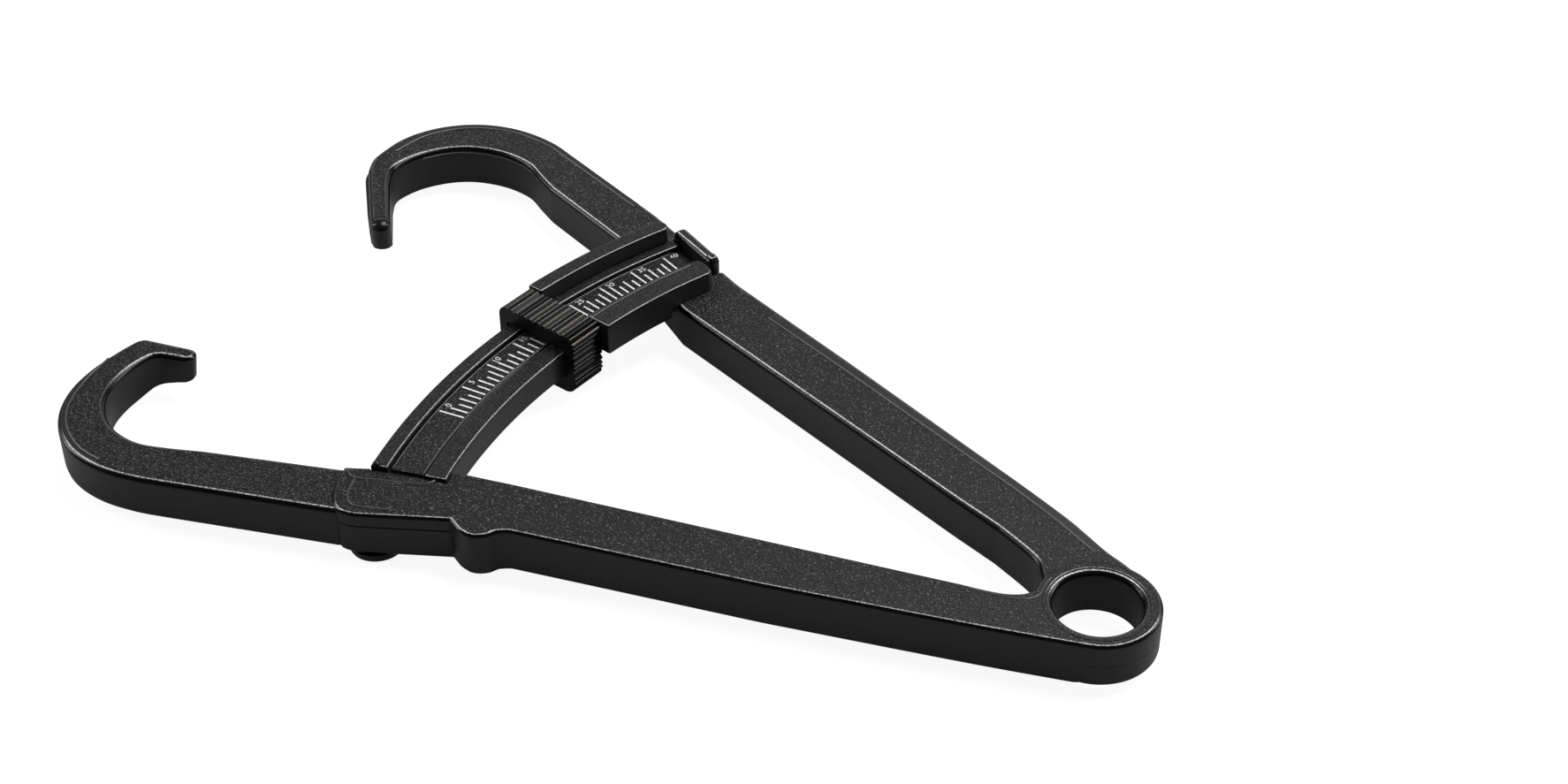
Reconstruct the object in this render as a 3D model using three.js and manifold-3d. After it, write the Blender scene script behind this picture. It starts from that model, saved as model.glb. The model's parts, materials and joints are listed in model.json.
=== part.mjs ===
// Skinfold caliper with two hooked arms, an arc scale and a slider that keeps the reading.
// Sizes are in millimetres. The hinge axis is vertical, and the underside of the arms is at zero
// until the last step, which moves the whole to stand on z = 0 about the centre of its box.
import * as THREE from "three";
import { mergeVertices } from "three/addons/utils/BufferGeometryUtils.js";
import Module from "manifold-3d";

const wasm = await Module();
wasm.setup();

// Clearances
const SEAM = 0.25; // between neighbours that are fitted together
const RUNNING_GAP = 0.3; // between neighbours that slide or turn
const CUT_MARGIN = 1; // how far a cut runs past the face that it opens

// Fineness of the round faces
const TURNED_SIDES = 48; // around the hinge
const PEG_SIDES = 20;
const SHANK_SIDES = 16;
const STOP_SHANK_SIDES = 14;
const STOP_HEAD_SIDES = 18;
const PIN_HEAD_SIDES = 32;
const SWEEP_STEP = 1.5; // degrees about the hinge
const SPRING_STEPS = 10;

// Arms
const ARM_HEIGHT = 8.1;
const ARM_EDGE = 0.6; // rounding of the arms' edges
const JAW_DROP = 0.4; // the lower jaw lies this much below the anchor block's top
const FINGER_RELIEF = 3.4; // the underside of the finger's tip rises by this much
const FOOT_RELIEF = 2.4;
const RELIEF_WIDTH = 8;

// Hinge
const HOLE_RADIUS = 6.8;
const BUSH_WALL = 0.7;
const EYE_WALL = 1.9;
const LIP_OVERHANG = 0.8;
const LIP_HEIGHT = 0.9;
const LIP_PROUD = 0.2;
const LIP_CHAMFER = 0.25;
const RETAINER_WALL = 0.95;
const RETAINER_HEIGHT = 0.8;
const HINGE_LIFT = 0.1; // the bush and its ring end this much above the arms' underside

// Scale arc, concentric with the hinge
const ARC_RADIUS = 110.2; // middle of the arc's width
const ARC_WIDTH = 12.8;
const ARC_THICK = 5;
const ARC_PROUD = 0.8; // above the arms' top
const ARC_START = 125.1; // degrees about the hinge, at the upper arm
const ARC_END = 164.4; // degrees, at the lower arm
const INNER_BAND = 3.8;
const INNER_BAND_DROP = 0.3;
const OUTER_BAND = 3.2;
const STRIP_THICK = 0.6;
const STRIP_RECESS = 1.1;
const STRIP_END_BAND = 1.5;

// Tongue of the arc inside the anchor block, with its pin and the cover over it
const TONGUE_WIDTH = 5.6;
const TONGUE_THICK = 1.6;
const PIN_ANGLE = 167.7;
const PIN_RADIUS = 1.5;
const PIN_HEAD_RADIUS = 4.5;
const PIN_HEAD_HEIGHT = 1.3;
const PIN_WALL = 1.1; // of the tongue beyond the pin
const PIN_IN_COVER = 1.4;

// Stop block on the free end of the arc
const STOP_LENGTH = 2.4;
const STOP_SIDE = 0.4; // narrower than the arc by this much on each side
const STOP_DROP = 1; // below the rails' top
const STOP_TRAVEL_GAP = 0.65; // to the rail that it halts
const STOP_SCREW_RADIUS = 0.8;
const STOP_SCREW_LENGTH = 7;
const STOP_SCREW_HEAD = 1.5;
const STOP_SCREW_HEAD_HEIGHT = 1;
const STOP_SCREW_DROP = 0.3; // below the middle of the arc's thickness

// Guide rails on the upper arm
const RAIL_RISE = 3.8; // above the arms' top
const RAIL_SKIRT = 2.1; // of the free part, below the arms' top
const RAIL_LIP = 0.9; // reach over the arc's edge
const RAIL_SIDE_GAP = 0.4; // beside the arc
const FAR_RAIL_WIDTH = 3.2;
const NEAR_RAIL_WIDTH = 4.9;
const RAIL_LENGTH = 14.6; // degrees about the hinge, from the arc's start
const NEAR_RAIL_BACK = 1; // degrees between the arc's start and the near rail's end
const FAR_RAIL_SEAT = 5.2; // degrees of the far rail that lie on the arm
const NEAR_RAIL_SEAT = 6.3; // degrees of the near rail that lie on the arm
const FAR_SCREWS = [0.9, 2.5]; // degrees from the arc's start
const NEAR_SCREWS = [1.9, 3.9];
const RAIL_SCREW_RADIUS = 0.6;
const RAIL_SCREW_BITE = 0.05; // clearance of its hole in the rail
const RAIL_SCREW_DEPTH = 2.3; // in the rail
const RAIL_SCREW_HEAD = 1.3;
const RAIL_SCREW_HEAD_HEIGHT = 0.9;
const NOTCH_REACH = 9; // degrees that the notch in the upper arm runs each way

// Slider
const SLIDER_LENGTH = 6.8; // along the arc
const SLIDER_NEAR_WALL = 2.4; // its walls, from the arc's sides
const SLIDER_FAR_WALL = 2;
const SLIDER_BASE = 3.1;
const SLIDER_RISE = 0.3; // above the rails
const SLIDER_CORNER = 1.7;
const SLIDER_CORNER_CUT = 0.5;
const RIB_COUNT_TOP = 18;
const RIB_COUNT_SIDE = 10;
const RIB_DEPTH = 0.45;
const RIB_CREST = 0.35; // of the pitch, the flat width of a rib
const RIB_SLOPE = 0.15; // of the pitch, the least width of a rib's flank
const SPRING_POCKET = 1.2;
const SPRING_WIDTH = 5;
const SPRING_LENGTH = 10;
const SPRING_THICK = 0.3;
const SPRING_GAP = 0.15;

// Values that follow from those above
const rad = THREE.MathUtils.degToRad;
const degreesAlong = (length, radius = ARC_RADIUS) => THREE.MathUtils.radToDeg(length / radius);
const eyeSplit = ARM_HEIGHT / 2;
const bushOuter = HOLE_RADIUS + BUSH_WALL;
const eyeBore = bushOuter + RUNNING_GAP;
const eyeRadius = eyeBore + EYE_WALL;
const lipRadius = bushOuter + LIP_OVERHANG;
const lipTop = ARM_HEIGHT + LIP_PROUD;
const lipBottom = lipTop - LIP_HEIGHT;
const retainerRadius = bushOuter + SEAM + RETAINER_WALL;
const retainerTop = HINGE_LIFT + RETAINER_HEIGHT;

const arcInner = ARC_RADIUS - ARC_WIDTH / 2;
const arcOuter = ARC_RADIUS + ARC_WIDTH / 2;
const arcTop = ARM_HEIGHT + ARC_PROUD;
const arcBottom = arcTop - ARC_THICK;
const notchFloor = arcBottom - RUNNING_GAP;
const stripInner = arcInner + INNER_BAND;
const stripOuter = arcOuter - OUTER_BAND;
const stripFloor = arcTop - STRIP_RECESS;
const stripFrom = ARC_START + degreesAlong(STRIP_END_BAND);
const stripTo = ARC_END - degreesAlong(STRIP_END_BAND);

const tongueInner = arcOuter - TONGUE_WIDTH;
const tongueTop = arcBottom + TONGUE_THICK;
const tongueEnd = PIN_ANGLE + degreesAlong(PIN_RADIUS + PIN_WALL);
const coverBottom = tongueTop + SEAM;
const pinTip = coverBottom + PIN_IN_COVER;
const pinPlace = polar((tongueInner + arcOuter) / 2, PIN_ANGLE);

const railTop = ARM_HEIGHT + RAIL_RISE;
const railMouth = ARC_START + RAIL_LENGTH;
const farLip = arcOuter - RAIL_LIP;
const nearLip = arcInner + RAIL_LIP;
const railOuter = farLip + FAR_RAIL_WIDTH;
const railInner = nearLip - NEAR_RAIL_WIDTH;
const farWall = arcOuter + RAIL_SIDE_GAP;
const nearWall = arcInner - RAIL_SIDE_GAP;

const stopTo = ARC_START - degreesAlong(SEAM);
const stopFrom = stopTo - degreesAlong(STOP_LENGTH);
const farRailEnd = stopTo + degreesAlong(STOP_TRAVEL_GAP);
const nearRailEnd = ARC_START + NEAR_RAIL_BACK;

const sliderInner = arcInner - SLIDER_NEAR_WALL;
const sliderOuter = arcOuter + SLIDER_FAR_WALL;
const sliderMiddle = (sliderInner + sliderOuter) / 2;
const sliderRoof = arcTop + RUNNING_GAP;
const sliderTop = railTop + SLIDER_RISE;
const sliderBottom = notchFloor - SLIDER_BASE;
const sliderAngle = railMouth + degreesAlong(SLIDER_LENGTH / 2 + RUNNING_GAP, railInner);
const arcBow = SLIDER_LENGTH ** 2 / (8 * arcInner); // of the arc within the slider's length

// Where the arc's middle line meets the arms: the jaws and the block are drawn about these places
const atBlock = polar(ARC_RADIUS, ARC_END);
const atNotch = polar(ARC_RADIUS, ARC_START);

const plastic = (color, roughness) => new THREE.MeshStandardMaterial({ color, roughness, metalness: 0 });
const steel = (color, roughness) => new THREE.MeshStandardMaterial({ color, roughness, metalness: 1 });

// The place at a distance and a direction from the hinge
function polar(radius, degrees) {
  const angle = THREE.MathUtils.degToRad(degrees);
  return new THREE.Vector2(radius * Math.cos(angle), radius * Math.sin(angle));
}

// A solid for cutting and joining, from one of the library's geometries
function solid(geometry) {
  const bare = geometry.clone();
  bare.deleteAttribute("normal");
  bare.deleteAttribute("uv");
  const merged = mergeVertices(bare, 1e-4);
  return new wasm.Manifold(new wasm.Mesh({
    numProp: 3,
    vertProperties: new Float32Array(merged.attributes.position.array),
    triVerts: new Uint32Array(merged.index.array),
  }));
}

// A named mesh from a solid
function piece(name, body, material) {
  const data = body.getMesh();
  const geometry = new THREE.BufferGeometry();
  geometry.setAttribute("position", new THREE.BufferAttribute(new Float32Array(data.vertProperties), 3));
  geometry.setIndex(new THREE.BufferAttribute(new Uint32Array(data.triVerts), 1));
  geometry.computeVertexNormals();
  const mesh = new THREE.Mesh(geometry, material);
  mesh.name = name;
  return mesh;
}

// A flat plate with the given outline between two heights, drawn in by inset, its edges bevelled
function plate(shape, bottom, top, { edge = 0, inset = 0 } = {}) {
  const geometry = new THREE.ExtrudeGeometry(shape, {
    depth: top - bottom - 2 * edge,
    curveSegments: 2,
    bevelEnabled: true,
    bevelSize: edge,
    bevelThickness: edge,
    bevelOffset: -edge - inset,
    bevelSegments: edge > 0 ? 1 : 0,
  });
  geometry.translate(0, 0, bottom + edge);
  return solid(geometry);
}

// The body that a closed line of radius and height pairs sweeps about the hinge axis
function turned(profile) {
  const points = profile.map(([radius, height]) => new THREE.Vector2(radius, height));
  const geometry = new THREE.LatheGeometry(points, TURNED_SIDES);
  geometry.rotateX(Math.PI / 2);
  return solid(geometry);
}

const disc = (radius, bottom, top) => turned([[0, bottom], [radius, bottom], [radius, top], [0, top]]);

// The stretch of a ring between two directions
function sector(inner, outer, from, to, bottom, top) {
  const count = Math.max(1, Math.round((to - from) / SWEEP_STEP));
  const points = [];
  for (let i = 0; i <= count; i += 1) points.push(polar(outer, from + ((to - from) * i) / count));
  for (let i = count; i >= 0; i -= 1) points.push(polar(inner, from + ((to - from) * i) / count));
  return plate(new THREE.Shape(points), bottom, top);
}

// A vertical peg or hole
function peg(place, radius, bottom, top, sides = PEG_SIDES) {
  const geometry = new THREE.CylinderGeometry(radius, radius, top - bottom, sides);
  geometry.rotateX(Math.PI / 2);
  geometry.translate(place.x, place.y, (top + bottom) / 2);
  return solid(geometry);
}

// Pieces of an outline, drawn from an origin: corners joined by lines, and points on a smooth curve
const placed = (origin, pairs) => pairs.map(([x, y]) => new THREE.Vector2(origin.x + x, origin.y + y));
const corners = (shape, origin, pairs) => placed(origin, pairs).forEach((p) => shape.lineTo(p.x, p.y));
const curve = (shape, origin, pairs) => shape.splineThru(placed(origin, pairs));
const hinge = new THREE.Vector2(0, 0);

// Outline of the lower handle with the anchor block and the thumb bump on its outer side
function lowerHandleShape() {
  const shape = new THREE.Shape(placed(hinge, [[-1, -2], [-8.9, 2.9]]));
  curve(shape, hinge, [[-11, 2.3], [-13.5, 2.3], [-16.5, 3.1], [-20, 4.4]]);
  corners(shape, atBlock, [[16.1, -1.6], [6.6, 1.4], [-10.5, 2.4]]);
  curve(shape, atBlock, [[-11.4, -1.6], [-11.4, -5.6], [-10.1, -8.4], [-7.4, -9.5]]);
  corners(shape, atBlock, [[7.8, -10.7], [8.9, -12.8]]);
  curve(shape, atBlock, [[10.5, -14.2], [12.1, -14.6], [13.8, -14.3], [15.1, -13.5], [16.9, -13.4]]);
  curve(shape, atBlock, [[26.1, -16.3], [56.1, -25.8]]);
  curve(shape, hinge, [[-20, -4.7], [-2.7, -9.3]]);
  return shape;
}

// Outline of the lower jaw, from inside the block to the foot
function lowerJawShape() {
  const shape = new THREE.Shape(placed(atBlock, [[-5.9, -7.6], [-5.9, 2], [-11.1, 2.5], [-33.9, 7.2]]));
  curve(shape, atBlock, [
    [-39.9, 8.1], [-44.4, 9.2], [-47.9, 11.4], [-50.7, 14.7], [-52.2, 18.9],
    [-52.3, 22.9], [-50.9, 27.2], [-48.9, 30.4], [-46.7, 32.5], [-44.1, 32.1], [-41.5, 31.3],
  ]);
  curve(shape, atBlock, [[-40, 32.5], [-40.5, 34.3], [-42.1, 34.9]]);
  corners(shape, atBlock, [[-49.5, 37.5]]);
  curve(shape, atBlock, [
    [-50.8, 36.9], [-53.5, 33.6], [-56.6, 29.1], [-58.7, 24.4], [-59.6, 19.7], [-59.3, 15.4],
    [-58, 11.2], [-55.8, 7.4], [-52.8, 4.4], [-48.9, 1.9], [-43.9, -0.1], [-38.9, -1.4],
  ]);
  corners(shape, atBlock, [[-10.9, -8]]);
  return shape;
}

// Outline of the upper arm, from the crotch by the inner edge to the finger and back outside
function upperArmShape() {
  const shape = new THREE.Shape(placed(hinge, [[3, 5], [-4, 3], [-7.7, 5.7]]));
  curve(shape, hinge, [[-8.2, 7], [-8.4, 9], [-9.8, 11.6], [-14, 17.2]]);
  corners(shape, hinge, [[-20, 23.8]]);
  corners(shape, atNotch, [[-1.1, -15.5], [-10.6, 2.8], [-26.6, 22.8]]);
  curve(shape, atNotch, [
    [-29, 26.8], [-31.2, 30.7], [-33.8, 33.2], [-36.6, 35], [-39.9, 36.3], [-43.6, 36.9],
    [-47.6, 36.4], [-51.6, 34.7], [-54.6, 32.3], [-56.5, 29.4], [-56.6, 24.8],
  ]);
  corners(shape, atNotch, [[-54.8, 11.8]]);
  curve(shape, atNotch, [[-55.2, 10.3], [-56.5, 9.7], [-57.9, 10.4], [-58.5, 11.8]]);
  corners(shape, atNotch, [[-61.2, 29.4]]);
  curve(shape, atNotch, [
    [-60.8, 33.4], [-58.8, 37.1], [-56.8, 39.9], [-53.8, 42.6], [-49.6, 44.8], [-44.6, 46],
    [-39.6, 45.8], [-34.6, 44.3], [-30.5, 42], [-26.6, 38.8], [-23.5, 35.1],
  ]);
  corners(shape, atNotch, [[-6.6, 14.2], [8.8, -7.8], [27.4, -29.8]]);
  corners(shape, hinge, [[-10, 29]]);
  curve(shape, hinge, [[-5, 22.8], [-2, 18.9], [0.4, 15.3], [2.6, 12], [4.7, 9.5], [6.4, 7.6]]);
  return shape;
}

// Outline of the cover plate: the block's own outline beside the jaw, and past it on the outer side
function coverShape() {
  const shape = new THREE.Shape(placed(atBlock, [[7.5, -13], [7.5, -4.1], [2.1, -2.6], [-10.3, 0.4]]));
  curve(shape, atBlock, [[-11.3, -1.6], [-11.4, -5.6], [-10.1, -8.4]]);
  corners(shape, atBlock, [[-9.9, -13]]);
  return shape;
}

// The wedge below a jaw's tip, which thins it from the root on and runs past its end
function tipWedge(root, tip, rise) {
  const along = tip.clone().sub(root);
  const reach = along.length();
  const past = reach + ARM_HEIGHT;
  const shape = new THREE.Shape([
    new THREE.Vector2(0, -CUT_MARGIN), new THREE.Vector2(past, -CUT_MARGIN),
    new THREE.Vector2(past, (rise * past) / reach), new THREE.Vector2(0, 0),
  ]);
  const geometry = new THREE.ExtrudeGeometry(shape, { depth: RELIEF_WIDTH, bevelEnabled: false });
  geometry.translate(0, 0, -RELIEF_WIDTH / 2);
  geometry.rotateX(Math.PI / 2);
  geometry.rotateZ(along.angle());
  geometry.translate(root.x, root.y, 0);
  return solid(geometry);
}

const fingerWedge = () => tipWedge(...placed(atNotch, [[-58.4, 28], [-56.5, 9.8]]), FINGER_RELIEF);
const footWedge = () => tipWedge(...placed(atBlock, [[-49.4, 35.6], [-40, 32.7]]), FOOT_RELIEF);

const blockPlate = () => plate(lowerHandleShape(), 0, ARM_HEIGHT, { edge: ARM_EDGE });

// Room that the arc takes in an arm, with its running gap
function arcRoom(from, to) {
  const top = ARM_HEIGHT + CUT_MARGIN;
  return sector(arcInner - RUNNING_GAP, arcOuter + RUNNING_GAP, from, to, notchFloor, top);
}

// Room of the arc's end and its tongue in the block
function anchorRoom() {
  const end = degreesAlong(SEAM);
  const crossing = degreesAlong(ARC_WIDTH);
  return arcRoom(ARC_END - crossing, ARC_END + end).add(sector(
    tongueInner - SEAM, arcOuter + RUNNING_GAP, ARC_END - crossing, tongueEnd + end, notchFloor, coverBottom,
  ));
}

function lowerArm() {
  const over = ARM_HEIGHT + CUT_MARGIN;
  const eyeBottom = eyeSplit + RUNNING_GAP / 2;
  return blockPlate()
    .add(plate(lowerJawShape(), 0, ARM_HEIGHT - JAW_DROP, { edge: ARM_EDGE }))
    .subtract(footWedge())
    .subtract(disc(eyeRadius + RUNNING_GAP, -CUT_MARGIN, eyeBottom))
    .add(disc(eyeRadius, eyeBottom, ARM_HEIGHT))
    .subtract(disc(eyeBore, -CUT_MARGIN, over))
    .subtract(disc(lipRadius + RUNNING_GAP, lipBottom - SEAM, over))
    .subtract(plate(coverShape(), coverBottom - SEAM, over))
    .subtract(anchorRoom())
    .subtract(peg(pinPlace, PIN_RADIUS + SEAM, -CUT_MARGIN, over));
}

function upperArm() {
  const over = ARM_HEIGHT + CUT_MARGIN;
  const eyeTop = eyeSplit - RUNNING_GAP / 2;
  let body = plate(upperArmShape(), 0, ARM_HEIGHT, { edge: ARM_EDGE })
    .subtract(fingerWedge())
    .subtract(disc(eyeRadius + RUNNING_GAP, eyeTop, over))
    .add(disc(eyeRadius, 0, eyeTop))
    .subtract(disc(eyeBore, -CUT_MARGIN, over))
    .subtract(disc(retainerRadius + RUNNING_GAP, -CUT_MARGIN, retainerTop + SEAM))
    .subtract(arcRoom(ARC_START - NOTCH_REACH, ARC_START + NOTCH_REACH));
  for (const place of railScrewPlaces()) {
    body = body
      .subtract(peg(place, RAIL_SCREW_RADIUS + SEAM, -CUT_MARGIN, over, SHANK_SIDES))
      .subtract(peg(place, RAIL_SCREW_HEAD + SEAM, -CUT_MARGIN, HINGE_LIFT + RAIL_SCREW_HEAD_HEIGHT + SEAM));
  }
  return body;
}

// Where the rail screws stand, over the upper arm
function railScrewPlaces() {
  const far = FAR_SCREWS.map((offset) => polar((farWall + railOuter) / 2, ARC_START + offset));
  const near = NEAR_SCREWS.map((offset) => polar((railInner + nearWall) / 2, ARC_START + offset));
  return [...far, ...near];
}

const hingeBush = () =>
  turned([
    [HOLE_RADIUS, HINGE_LIFT], [bushOuter, HINGE_LIFT], [bushOuter, lipBottom], [lipRadius, lipBottom],
    [lipRadius, lipTop - LIP_CHAMFER], [lipRadius - LIP_CHAMFER, lipTop],
    [HOLE_RADIUS + LIP_CHAMFER, lipTop], [HOLE_RADIUS, lipTop - LIP_CHAMFER], [HOLE_RADIUS, HINGE_LIFT],
  ]);

const hingeRetainingRing = () =>
  turned([
    [bushOuter + SEAM, HINGE_LIFT], [retainerRadius, HINGE_LIFT], [retainerRadius, retainerTop],
    [bushOuter + SEAM, retainerTop], [bushOuter + SEAM, HINGE_LIFT],
  ]);

function scaleArc() {
  const over = arcTop + CUT_MARGIN;
  const beam = sector(arcInner, arcOuter, ARC_START, ARC_END, arcBottom, arcTop);
  const tongue = sector(tongueInner, arcOuter, ARC_END - CUT_MARGIN, tongueEnd, arcBottom, tongueTop);
  const recess = sector(stripInner - SEAM, stripOuter + SEAM, stripFrom, stripTo, stripFloor, over);
  const innerBand = sector(
    arcInner - CUT_MARGIN, stripInner, ARC_START - CUT_MARGIN, ARC_END + CUT_MARGIN,
    arcTop - INNER_BAND_DROP, over,
  );
  return beam
    .add(tongue)
    .subtract(recess)
    .subtract(innerBand)
    .subtract(peg(pinPlace, PIN_RADIUS + SEAM, 0, ARM_HEIGHT))
    .subtract(stopScrewBody(SEAM));
}

function scaleStrip() {
  const end = degreesAlong(SEAM);
  return sector(stripInner, stripOuter, stripFrom + end, stripTo - end, stripFloor, stripFloor + STRIP_THICK);
}

// The screw that holds the stop, lying along the arc, or its hole where a clearance is given
function stopScrewBody(clearance) {
  const length = STOP_SCREW_LENGTH + clearance;
  const headHeight = STOP_SCREW_HEAD_HEIGHT + clearance;
  const shank = new THREE.CylinderGeometry(
    STOP_SCREW_RADIUS + clearance, STOP_SCREW_RADIUS + clearance, length, STOP_SHANK_SIDES,
  );
  const head = new THREE.CylinderGeometry(
    STOP_SCREW_HEAD + clearance, STOP_SCREW_HEAD + clearance, headHeight, STOP_HEAD_SIDES,
  );
  shank.translate(0, length / 2, 0);
  head.translate(0, headHeight / 2 - clearance, 0);
  const place = polar(ARC_RADIUS, stopFrom);
  const [shankBody, headBody] = [shank, head].map((geometry) => {
    geometry.rotateZ(rad(stopFrom));
    geometry.translate(place.x, place.y, (arcBottom + arcTop) / 2 - STOP_SCREW_DROP);
    return solid(geometry);
  });
  return shankBody.add(headBody);
}

function arcEndStop() {
  const inner = arcInner + STOP_SIDE;
  const outer = arcOuter - STOP_SIDE;
  return sector(inner, outer, stopFrom, stopTo, arcBottom, railTop - STOP_DROP).subtract(stopScrewBody(SEAM));
}

const arcAnchorPin = () =>
  peg(pinPlace, PIN_HEAD_RADIUS, -SEAM - PIN_HEAD_HEIGHT, -SEAM, PIN_HEAD_SIDES)
    .add(peg(pinPlace, PIN_RADIUS, -SEAM - PIN_HEAD_HEIGHT / 2, pinTip));

const anchorCover = () =>
  plate(coverShape(), coverBottom, ARM_HEIGHT, { inset: SEAM })
    .intersect(blockPlate())
    .subtract(anchorRoom())
    .subtract(peg(pinPlace, PIN_RADIUS + SEAM, 0, pinTip + SEAM));

// One rail: a lip over the arc's edge, and a wall beside it that drops lower past the arm
function rail(lip, wall, end, seat) {
  let body = sector(...lip, end, railMouth, arcTop + RUNNING_GAP, railTop)
    .add(sector(...wall, end, railMouth, ARM_HEIGHT, railTop))
    .add(sector(...wall, ARC_START + seat, railMouth, ARM_HEIGHT - RAIL_SKIRT, railTop));
  for (const place of railScrewPlaces()) {
    const depth = ARM_HEIGHT + RAIL_SCREW_DEPTH + SEAM;
    body = body.subtract(peg(place, RAIL_SCREW_RADIUS + RAIL_SCREW_BITE, 0, depth, SHANK_SIDES));
  }
  return body;
}

const farGuideRail = () => rail([farLip, railOuter], [farWall, railOuter], farRailEnd, FAR_RAIL_SEAT);
const nearGuideRail = () => rail([railInner, nearLip], [railInner, nearWall], nearRailEnd, NEAR_RAIL_SEAT);

function railScrew(place) {
  const headTop = HINGE_LIFT + RAIL_SCREW_HEAD_HEIGHT;
  return peg(place, RAIL_SCREW_HEAD, HINGE_LIFT, headTop)
    .add(peg(place, RAIL_SCREW_RADIUS, headTop / 2, ARM_HEIGHT + RAIL_SCREW_DEPTH, SHANK_SIDES));
}

// Cross-section of the slider, out along x from the hinge and up, with ribs on top and near side
function sliderShape() {
  const topFrom = sliderInner + SLIDER_CORNER;
  const topTo = sliderOuter - SLIDER_CORNER;
  const sideFrom = sliderBottom + SLIDER_CORNER;
  const topPitch = (topTo - topFrom) / RIB_COUNT_TOP;
  const sidePitch = (sliderTop - SLIDER_CORNER - sideFrom) / RIB_COUNT_SIDE;
  const points = [];
  for (let i = 0; i < RIB_COUNT_SIDE; i += 1) {
    const z = sideFrom + i * sidePitch;
    const crest = z + (1 - RIB_SLOPE - RIB_CREST) * sidePitch;
    points.push([sliderInner + RIB_DEPTH, z + RIB_SLOPE * sidePitch]);
    points.push([sliderInner, crest], [sliderInner, crest + RIB_CREST * sidePitch]);
  }
  points.push([sliderInner + SLIDER_CORNER_CUT, sliderTop - SLIDER_CORNER_CUT]);
  for (let i = 0; i < RIB_COUNT_TOP; i += 1) {
    const x = topFrom + i * topPitch;
    points.push([x, sliderTop], [x + RIB_CREST * topPitch, sliderTop]);
    points.push([x + 2 * RIB_CREST * topPitch, sliderTop - RIB_DEPTH]);
  }
  points.push([topTo, sliderTop], [sliderOuter - SLIDER_CORNER_CUT, sliderTop - SLIDER_CORNER_CUT]);
  points.push([sliderOuter, sliderTop - SLIDER_CORNER], [sliderOuter, sideFrom]);
  points.push([sliderOuter - SLIDER_CORNER_CUT, sliderBottom + SLIDER_CORNER_CUT], [topTo, sliderBottom]);
  points.push([topFrom, sliderBottom], [sliderInner + SLIDER_CORNER_CUT, sliderBottom + SLIDER_CORNER_CUT]);
  points.push([sliderInner, sideFrom]);
  return new THREE.Shape(points.map(([x, z]) => new THREE.Vector2(x, z)));
}

// Turns a cross-section drawn beside the hinge axis into a prism across the arc at the slider
function alongArc(shape, length) {
  const geometry = new THREE.ExtrudeGeometry(shape, { depth: length, bevelEnabled: false });
  geometry.translate(0, 0, -length / 2);
  geometry.rotateX(Math.PI / 2);
  geometry.rotateZ(rad(sliderAngle));
  return solid(geometry);
}

function rectangle(x0, z0, x1, z1) {
  return new THREE.Shape([[x0, z0], [x1, z0], [x1, z1], [x0, z1]].map(([x, z]) => new THREE.Vector2(x, z)));
}

function sliderShell() {
  const passage = rectangle(
    arcInner - RUNNING_GAP - arcBow, notchFloor, arcOuter + RUNNING_GAP, sliderRoof,
  );
  const pocketReach = SPRING_LENGTH / 2 + RUNNING_GAP;
  const pocket = rectangle(
    sliderMiddle - pocketReach, sliderRoof - CUT_MARGIN,
    sliderMiddle + pocketReach, sliderRoof + SPRING_POCKET,
  );
  return alongArc(sliderShape(), SLIDER_LENGTH)
    .subtract(alongArc(passage, SLIDER_LENGTH + CUT_MARGIN))
    .subtract(alongArc(pocket, SPRING_WIDTH + 2 * RUNNING_GAP));
}

// A bowed strip: its middle is under the pocket's roof and its ends rest on the arc's bands
function sliderSpring() {
  const low = arcTop + SPRING_GAP;
  const high = sliderRoof + SPRING_POCKET - SPRING_GAP - SPRING_THICK;
  const under = [];
  const over = [];
  for (let i = 0; i <= SPRING_STEPS; i += 1) {
    const along = (i / SPRING_STEPS) * 2 - 1;
    const x = sliderMiddle + (along * SPRING_LENGTH) / 2;
    const z = low + (high - low) * Math.cos((along * Math.PI) / 2) ** 2;
    under.push(new THREE.Vector2(x, z));
    over.unshift(new THREE.Vector2(x, z + SPRING_THICK));
  }
  return alongArc(new THREE.Shape([...under, ...over]), SPRING_WIDTH);
}

const group = new THREE.Group();
group.name = "skinfold_caliper";
const body = new THREE.Group();
group.add(body);

const satinBlack = 0x1d1d1f;
body.add(piece("lower_arm", lowerArm(), plastic(satinBlack, 0.5)));
body.add(piece("upper_arm", upperArm(), plastic(satinBlack, 0.5)));
body.add(piece("hinge_bush", hingeBush(), plastic(0x161618, 0.35)));
body.add(piece("hinge_retaining_ring", hingeRetainingRing(), plastic(0x161618, 0.45)));
body.add(piece("scale_arc", scaleArc(), plastic(0x1b1b1d, 0.48)));
body.add(piece("scale_strip", scaleStrip(), plastic(0x202022, 0.5)));
body.add(piece("arc_end_stop", arcEndStop(), plastic(0x1b1b1d, 0.45)));
body.add(piece("arc_stop_screw", stopScrewBody(0), steel(0x6a6a6e, 0.4)));
body.add(piece("arc_anchor_pin", arcAnchorPin(), plastic(0x19191b, 0.45)));
body.add(piece("anchor_cover", anchorCover(), plastic(satinBlack, 0.5)));
body.add(piece("slider_shell", sliderShell(), plastic(0x26211e, 0.42)));
body.add(piece("slider_spring", sliderSpring(), steel(0x8a8a8c, 0.35)));
body.add(piece("far_guide_rail", farGuideRail(), plastic(0x1b1b1d, 0.45)));
body.add(piece("near_guide_rail", nearGuideRail(), plastic(0x1b1b1d, 0.45)));
railScrewPlaces().forEach((place, i) => {
  body.add(piece(`rail_screw_${i + 1}`, railScrew(place), steel(0x6a6a6e, 0.4)));
});

// The whole stands on z = 0 with the centre of its box over the origin
const box = new THREE.Box3().setFromObject(body);
body.position.set(-(box.min.x + box.max.x) / 2, -(box.min.y + box.max.y) / 2, -box.min.z);
group.updateMatrixWorld(true);

export default group;
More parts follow.
